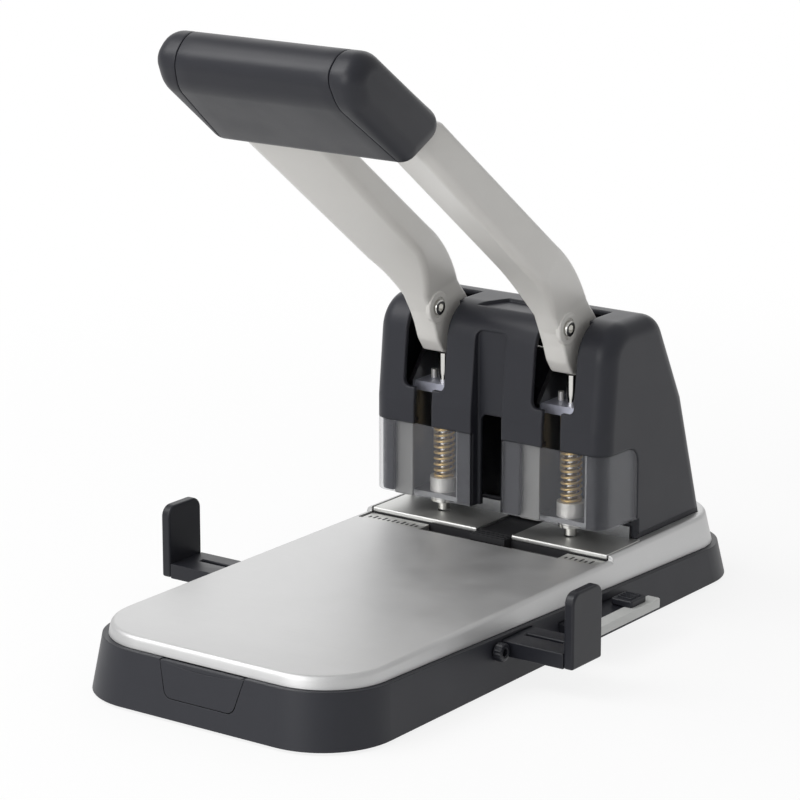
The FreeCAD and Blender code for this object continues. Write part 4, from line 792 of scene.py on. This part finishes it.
class PinTowers:
    """The clear guards and what shows behind them: springs, their brackets and light panels."""

    pin_x = 40.0
    bracket_inner = 7.2
    bracket_outer = 10.4
    bracket_low = 69.0
    bracket_top = 103.0
    bracket_y = 5.8
    bracket_thick = 1.2
    bracket_rounds = (1.5, 1.5, 0.2, 0.2)
    bracket_edge = 0.25
    panel_near = 10.8
    panel_far = 22.5
    panel_y = -12.4
    panel_low = 46.5
    panel_top = 90.0
    panel_thick = 1.4
    panel_round = 1.0
    panel_edge = 0.3
    coil_radius = 5.0
    wire_radius = 0.72
    coil_low = 57.1
    coil_high = 93.2
    turns = 13.0
    flat_turns = 0.8
    turn_steps = 28
    guard_edge = 0.45

    def coil(self, x: float) -> Grid:
        """Gives the spring's wire: a circle carried along a helix whose two end turns lie flat.

        At a turn t the helix's centre is (r cos 2 pi t, r sin 2 pi t), and its level rises evenly
        over the turns between the flat ones.
        """
        turn = np.linspace(0.0, self.turns, int(self.turns * self.turn_steps) + 1)
        share = np.clip((turn - self.flat_turns) / (self.turns - 2 * self.flat_turns), 0.0, 1.0)
        level = self.coil_low + (self.coil_high - self.coil_low) * share
        angle = 2 * np.pi * turn[:, None]
        round_wire = np.linspace(0.0, 2 * np.pi, 12, endpoint=False)
        radius = self.coil_radius + self.wire_radius * np.cos(round_wire)
        high = level[:, None] + self.wire_radius * np.sin(round_wire)
        return np.stack([x + radius * np.cos(angle), radius * np.sin(angle), high], axis=-1)

    def build(self, shop: Workshop) -> None:
        """Builds both towers' brackets, panels, springs and guards."""
        for name, side in SIDES:
            x = self.pin_x * side
            bracket = Shape()
            for way in (-1.0, 1.0):
                low, high = sorted((x + way * self.bracket_inner, x + way * self.bracket_outer))
                bracket.add(plate((low, self.bracket_low, 0.0), (high, self.bracket_top, self.bracket_thick),
                                  self.bracket_rounds, self.bracket_edge), facing(self.bracket_y))
            shop.make(f"spring_bracket_{name}", bracket, "base", "frame_steel", "yellow_zinc_steel")
            panel = plate((x - self.panel_far, self.panel_low, 0.0),
                          (x - self.panel_near, self.panel_top, self.panel_thick),
                          self.panel_round, self.panel_edge)
            shop.make(f"light_panel_{name}", Shape().add(panel, facing(self.panel_y)), "base", "frame_steel",
                      "grey_styrene_panel")
            shop.make(f"spring_{name}", Shape().add(self.coil(x)), "base", "spring_brass",
                      "brass_plated_wire", f"return_spring_{name}")
            shop.soften(f"guard_{name}", "base", "clear_plastic", "clear_polycarbonate", self.guard_edge)


class DieTable:
    """The dies' plates, the dark glossy strip in front of them and a slotted scale at either end."""

    front_y = -29.4
    rear_y = -18.5
    strip_left = -36.0
    strip_right = 50.0
    outer = 73.6
    low_z = 31.2
    strip_z = 33.4
    scale_z = 34.4
    strip_behind = 6.0
    strip_round = 0.8
    strip_edge = 0.6
    scale_gap = 0.3
    scale_round = 0.6
    scale_edge = 0.4
    foot_edge = 0.2
    tick_start = 3.0
    tick_margins = 4.0
    tick_pitch = 3.0
    tick_width = 1.3
    tick_length = 4.6
    tick_short = 0.6
    tick_front = 2.6
    tick_round = 0.4
    tick_sunk = 0.3
    tick_proud = 0.05
    tick_edge = 0.02
    plate_edge = 0.5

    def build(self, shop: Workshop) -> None:
        """Builds the strip, the scales with their slots, and the plates."""
        strip = Shape().add(plate((self.strip_left, self.front_y, self.low_z),
                                  (self.strip_right, self.rear_y - self.strip_behind, self.strip_z),
                                  self.strip_round, (self.foot_edge, self.strip_edge)))
        shop.make("die_strip", strip, "base", "carrier_plastic", "black_gloss_styrene")
        ends = (("left", -self.outer, self.strip_left), ("right", self.strip_right, self.outer))
        for name, near, far in ends:
            scale = Shape().add(plate((near + self.scale_gap, self.front_y, self.low_z),
                                      (far - self.scale_gap, self.rear_y, self.scale_z),
                                      self.scale_round, (self.foot_edge, self.scale_edge)))
            shop.make(f"die_scale_{name}", scale, "base", "plate_steel", "ground_steel_plate")
            ticks = Shape()
            for index in range(int((far - near - self.tick_margins) // self.tick_pitch)):
                x, y = near + self.tick_start + index * self.tick_pitch, self.front_y + self.tick_front
                reach = self.tick_length * (1.0 if index % 2 else self.tick_short)
                ticks.add(plate((x, y, self.scale_z - self.tick_sunk),
                                (x + self.tick_width, y + reach, self.scale_z + self.tick_proud),
                                self.tick_round, self.tick_edge, (2, 1)))
            shop.make(f"die_slots_{name}", ticks, "base", "carrier_plastic", "black_nylon_matt")
            shop.soften(f"die_plate_{name}", "base", "plate_steel", "ground_steel_plate", self.plate_edge)


# ---------------- guides


class PaperGuides:
    """The side guides' arms and fences, and the lock knobs in the tray's sides."""

    knob_x = 83.0
    knob_y = -130.3
    knob_z = 19.5
    knob_radius = 4.6
    knob_height = 4.5
    knob_foot = 0.3
    knob_edge = 0.9
    knob_cut = 0.26
    knob_points = 64
    flute_depth = 0.35
    flutes = 16
    shank_radius = 1.5
    shank_length = 8.0
    mouth_radius = 2.9
    throat_radius = 2.5
    throat_depth = 0.5
    socket_across = 3.6
    socket_depth = 2.0
    arm_edge = 0.7
    fence_edge = 1.3

    def build(self, shop: Workshop) -> None:
        """Builds the guides' arms, fences and knobs."""
        knobs = Shape()
        radius, high, foot = self.knob_radius, self.knob_height, self.knob_foot
        throat = high - self.throat_depth
        for name, side in SIDES:
            for part, edge, steps in (("arm", self.arm_edge, 2), ("fence", self.fence_edge, 4)):
                shop.soften(f"guide_{part}_{name}", f"guide_{name}", "guide_plastic", "black_abs_satin",
                            edge, steps)
            body = lathe([(0.0, -self.shank_length), (self.shank_radius, -self.shank_length),
                          (self.shank_radius, 0.0), (radius - foot, 0.0), (radius, foot),
                          *rim(radius, high, self.knob_edge, self.knob_cut), (self.mouth_radius, high),
                          (self.throat_radius, throat)], self.knob_points, self.flute_depth, self.flutes)
            rows = socket_rows(self.socket_across, throat, high - self.socket_depth, self.knob_points)
            knobs.add(np.concatenate([body, rows]),
                      sideways(self.knob_x * side, self.knob_y, self.knob_z, side))
        shop.make("guide_lock_knobs", knobs, "base", "base_plastic", "black_abs_satin", "guide_lock_screws")


class FormatSlide:
    """The pull-out slide: a top coloured dark for painted shade, a light grey outer edge and a latch with
    finger ridges.
    """

    inner = 52.0
    split = 96.0
    outer = 103.0
    front = -76.0
    rear = -12.5
    low_z = 14.0
    top_z = 18.6
    overlap = 1.0
    edge = 0.4
    top_round = 0.8
    pale_rounds = (0.6, 2.0, 2.0, 0.6)
    pale_edge = 0.5
    pale_raised = 0.2
    pale_proud = 0.3
    stop_edge = 1.1
    ridges = 4
    ridge_start = 3.0
    ridge_pitch = 2.6
    ridge_width = 1.0
    ridge_inset = 2.0
    ridge_height = 0.6
    ridge_foot = 0.1

    def build(self, shop: Workshop) -> None:
        """Builds the slide's two parts and its latch."""
        # Painted shade: the top is given the black plastic to stand in for the shade that lies on it.
        dark = Shape().add(plate((self.inner, self.front, self.low_z), (self.split, self.rear, self.top_z),
                                 self.top_round, self.edge))
        shop.make("format_slide_top", dark, "slide", "guide_plastic", "black_abs_satin", "format_slide")
        pale = Shape().add(plate((self.split - self.overlap, self.front, self.low_z + self.pale_raised),
                                 (self.outer, self.rear, self.top_z + self.pale_proud),
                                 self.pale_rounds, (self.edge, self.pale_edge)))
        shop.make("format_slide_edge", pale, "slide", "slide_grey", "light_grey_abs", "format_slide")
        shop.soften("slide_stop", "slide", "guide_plastic", "black_abs_satin", self.stop_edge, 3)
        low, high = np.array(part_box("slide_stop")) / MM
        ridges = Shape()
        for index in range(self.ridges):
            y = low[1] + self.ridge_start + index * self.ridge_pitch
            ridges.add(plate((low[0] + self.ridge_inset, y, high[2] - self.ridge_height),
                             (high[0] - self.ridge_inset, y + self.ridge_width, high[2] + self.ridge_height),
                             self.edge, (self.ridge_foot, self.edge), (2, 2)))
        shop.make("latch_ridges", ridges, "slide", "guide_plastic", "black_abs_satin")


class Casing:
    """The rear panel, the steel cover and the brow over the drawer front."""

    cover_edge = 0.35
    panel_edge = 0.7
    brow_half = 24.0
    brow_low = 24.5
    brow_thick = 3.0
    brow_round = 0.8
    brow_edge = 0.3
    brow_proud = 0.2
    brow_behind = 1.2

    def build(self, shop: Workshop) -> None:
        """Builds the panel, the cover and the brow."""
        shop.soften("rear_panel", "base", "housing_plastic", "black_abs_satin", self.panel_edge)
        shop.soften("table_cover", "base", "table_steel", "brushed_stainless_sheet", self.cover_edge)
        _, high = np.array(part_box("drawer_front")) / MM
        brow = plate((-self.brow_half, self.brow_low, 0.0),
                     (self.brow_half, high[2] + self.brow_proud, self.brow_thick),
                     self.brow_round, self.brow_edge)
        shop.make("drawer_brow", Shape().add(brow, facing(high[1] - self.brow_behind)), "drawer",
                  "carrier_plastic", "black_abs_tray")


# ---------------- studio


class Studio:
    """The camera, the pale floor and the soft lights: places in metres, turns in degrees."""

    lens = 152.3
    sensor = 36.0
    camera_reach = 100.0
    camera_place = (0.9472, -1.4114, 0.5558)
    camera_turn = (75.1, 0.0, 35.75)
    floor_half = 12.0
    floor_shade = 0.84
    floor_fade = (0.25, 0.8)
    floor_colour = (0.9, 0.9, 0.9, 1.0)
    white = (1.0, 1.0, 1.0, 1.0)
    world_light = 0.5
    world_gloss = 0.2

    def add_camera(self) -> None:
        """Makes the camera and hands it to the scene."""
        data = bpy.data.cameras.new("studio_camera")
        data.lens = self.lens
        data.sensor_width = self.sensor
        data.clip_end = self.camera_reach
        camera = bpy.data.objects.new("studio_camera", data)
        camera.location = self.camera_place
        camera.rotation_euler = Euler([math.radians(turn) for turn in self.camera_turn])
        bpy.context.scene.collection.objects.link(camera)
        bpy.context.scene.camera = camera

    def add_floor(self) -> None:
        """Makes the floor: near white round the part, where it keeps the shadow, then white."""
        half = self.floor_half
        mesh = bpy.data.meshes.new("studio_floor")
        mesh.from_pydata([(-half, -half, 0), (half, -half, 0), (half, half, 0), (-half, half, 0)], [],
                         [(0, 1, 2, 3)])
        floor = bpy.data.objects.new("studio_floor", mesh)
        bpy.context.scene.collection.objects.link(floor)
        material = bpy.data.materials.new("pale_paper_floor")
        tree = empty_tree(material)
        path = add_node(tree, "LightPath").outputs
        paper = add_node(tree, "BsdfDiffuse", {"Color": self.floor_colour})
        glow = add_node(tree, "Emission", {"Color": self.white, "Strength": 1.0})
        seen = join(tree, "MAXIMUM", path["Is Camera Ray"], path["Is Glossy Ray"])
        seen = join(tree, "MAXIMUM", seen, path["Is Transmission Ray"])
        coords = add_node(tree, "TexCoord").outputs["Object"]
        away = add_node(tree, "VectorMath", {0: coords}, operation="LENGTH").outputs["Value"]
        fade = remap(tree, away, self.floor_fade, (self.floor_shade, 1.0), interpolation_type="SMOOTHSTEP")
        share = join(tree, "MULTIPLY", seen, fade)
        both = add_node(tree, "MixShader", {0: share, 1: paper.outputs[0], 2: glow.outputs[0]})
        add_node(tree, "OutputMaterial", {"Surface": both.outputs[0]})
        dress(floor, material)

    def add_world(self) -> None:
        """Makes the world: white to the camera and through clear pieces, softer as a light."""
        world = bpy.data.worlds.new("studio_world")
        bpy.context.scene.world = world
        tree = empty_tree(world)
        path = add_node(tree, "LightPath").outputs
        clear = join(tree, "MAXIMUM", path["Is Camera Ray"], path["Is Transmission Ray"])
        gloss = join(tree, "MULTIPLY", path["Is Glossy Ray"], self.world_gloss)
        seen = join(tree, "MAXIMUM", clear, gloss)
        strength = remap(tree, seen, (0.0, 1.0), (self.world_light, 1.0))
        back = add_node(tree, "Background", {"Color": self.white, "Strength": strength})
        add_node(tree, "OutputWorld", {"Surface": back.outputs[0]})

    def add_lamp(self, name: str, place: Point, aim: Point, size: float, power: float) -> None:
        """Adds one square softbox that hangs at a place and faces another."""
        data = bpy.data.lights.new(name, "AREA")
        data.shape = "SQUARE"
        data.size = size
        data.energy = power
        lamp = bpy.data.objects.new(name, data)
        direction = np.array(aim, float) - np.array(place, float)
        flat = math.hypot(direction[0], direction[1])
        lamp.location = place
        lamp.rotation_euler = Euler((math.atan2(flat, -direction[2]), 0.0,
                                     math.atan2(direction[1], direction[0]) - math.pi / 2))
        bpy.context.scene.collection.objects.link(lamp)

    def build(self) -> None:
        """Makes the whole studio."""
        bpy.context.scene.view_settings.view_transform = "Standard"
        self.add_world()
        self.add_floor()
        self.add_lamp("key_softbox", (-1.1, -1.2, 1.9), (0.0, -0.05, 0.1), 1.4, 30.0)
        self.add_lamp("front_softbox", (-0.2, -2.1, 0.8), (0.0, -0.05, 0.12), 1.2, 14.0)
        self.add_lamp("back_softbox", (-1.1, 1.7, 1.0), (0.0, 0.0, 0.05), 1.9, 9.0)


# ---------------- main


SUB_ASSEMBLIES = (LeverArms, Grip, PinTowers, DieTable, PaperGuides, FormatSlide, Casing)


def dress_frame(nodes: dict[str, Object], finishes: Finishes) -> None:
    """Gives every construction node its finish."""
    for finish, names in NODE_FINISHES.items():
        for name in names:
            dress(nodes[name], finishes.get(finish))
    LOG.info("dressed %d nodes", sum(len(names) for names in NODE_FINISHES.values()))


def main() -> None:
    """Loads the model, dresses it and adds the detail pieces."""
    logging.basicConfig(level=logging.INFO, format="%(message)s")
    studio = Studio()
    studio.add_camera()
    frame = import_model()
    finishes = Finishes()
    dress_frame(frame["nodes"], finishes)
    shop = Workshop(frame["nodes"], finishes)
    for assembly in SUB_ASSEMBLIES:
        assembly().build(shop)
    studio.build()


if __name__ == "__main__":
    main()
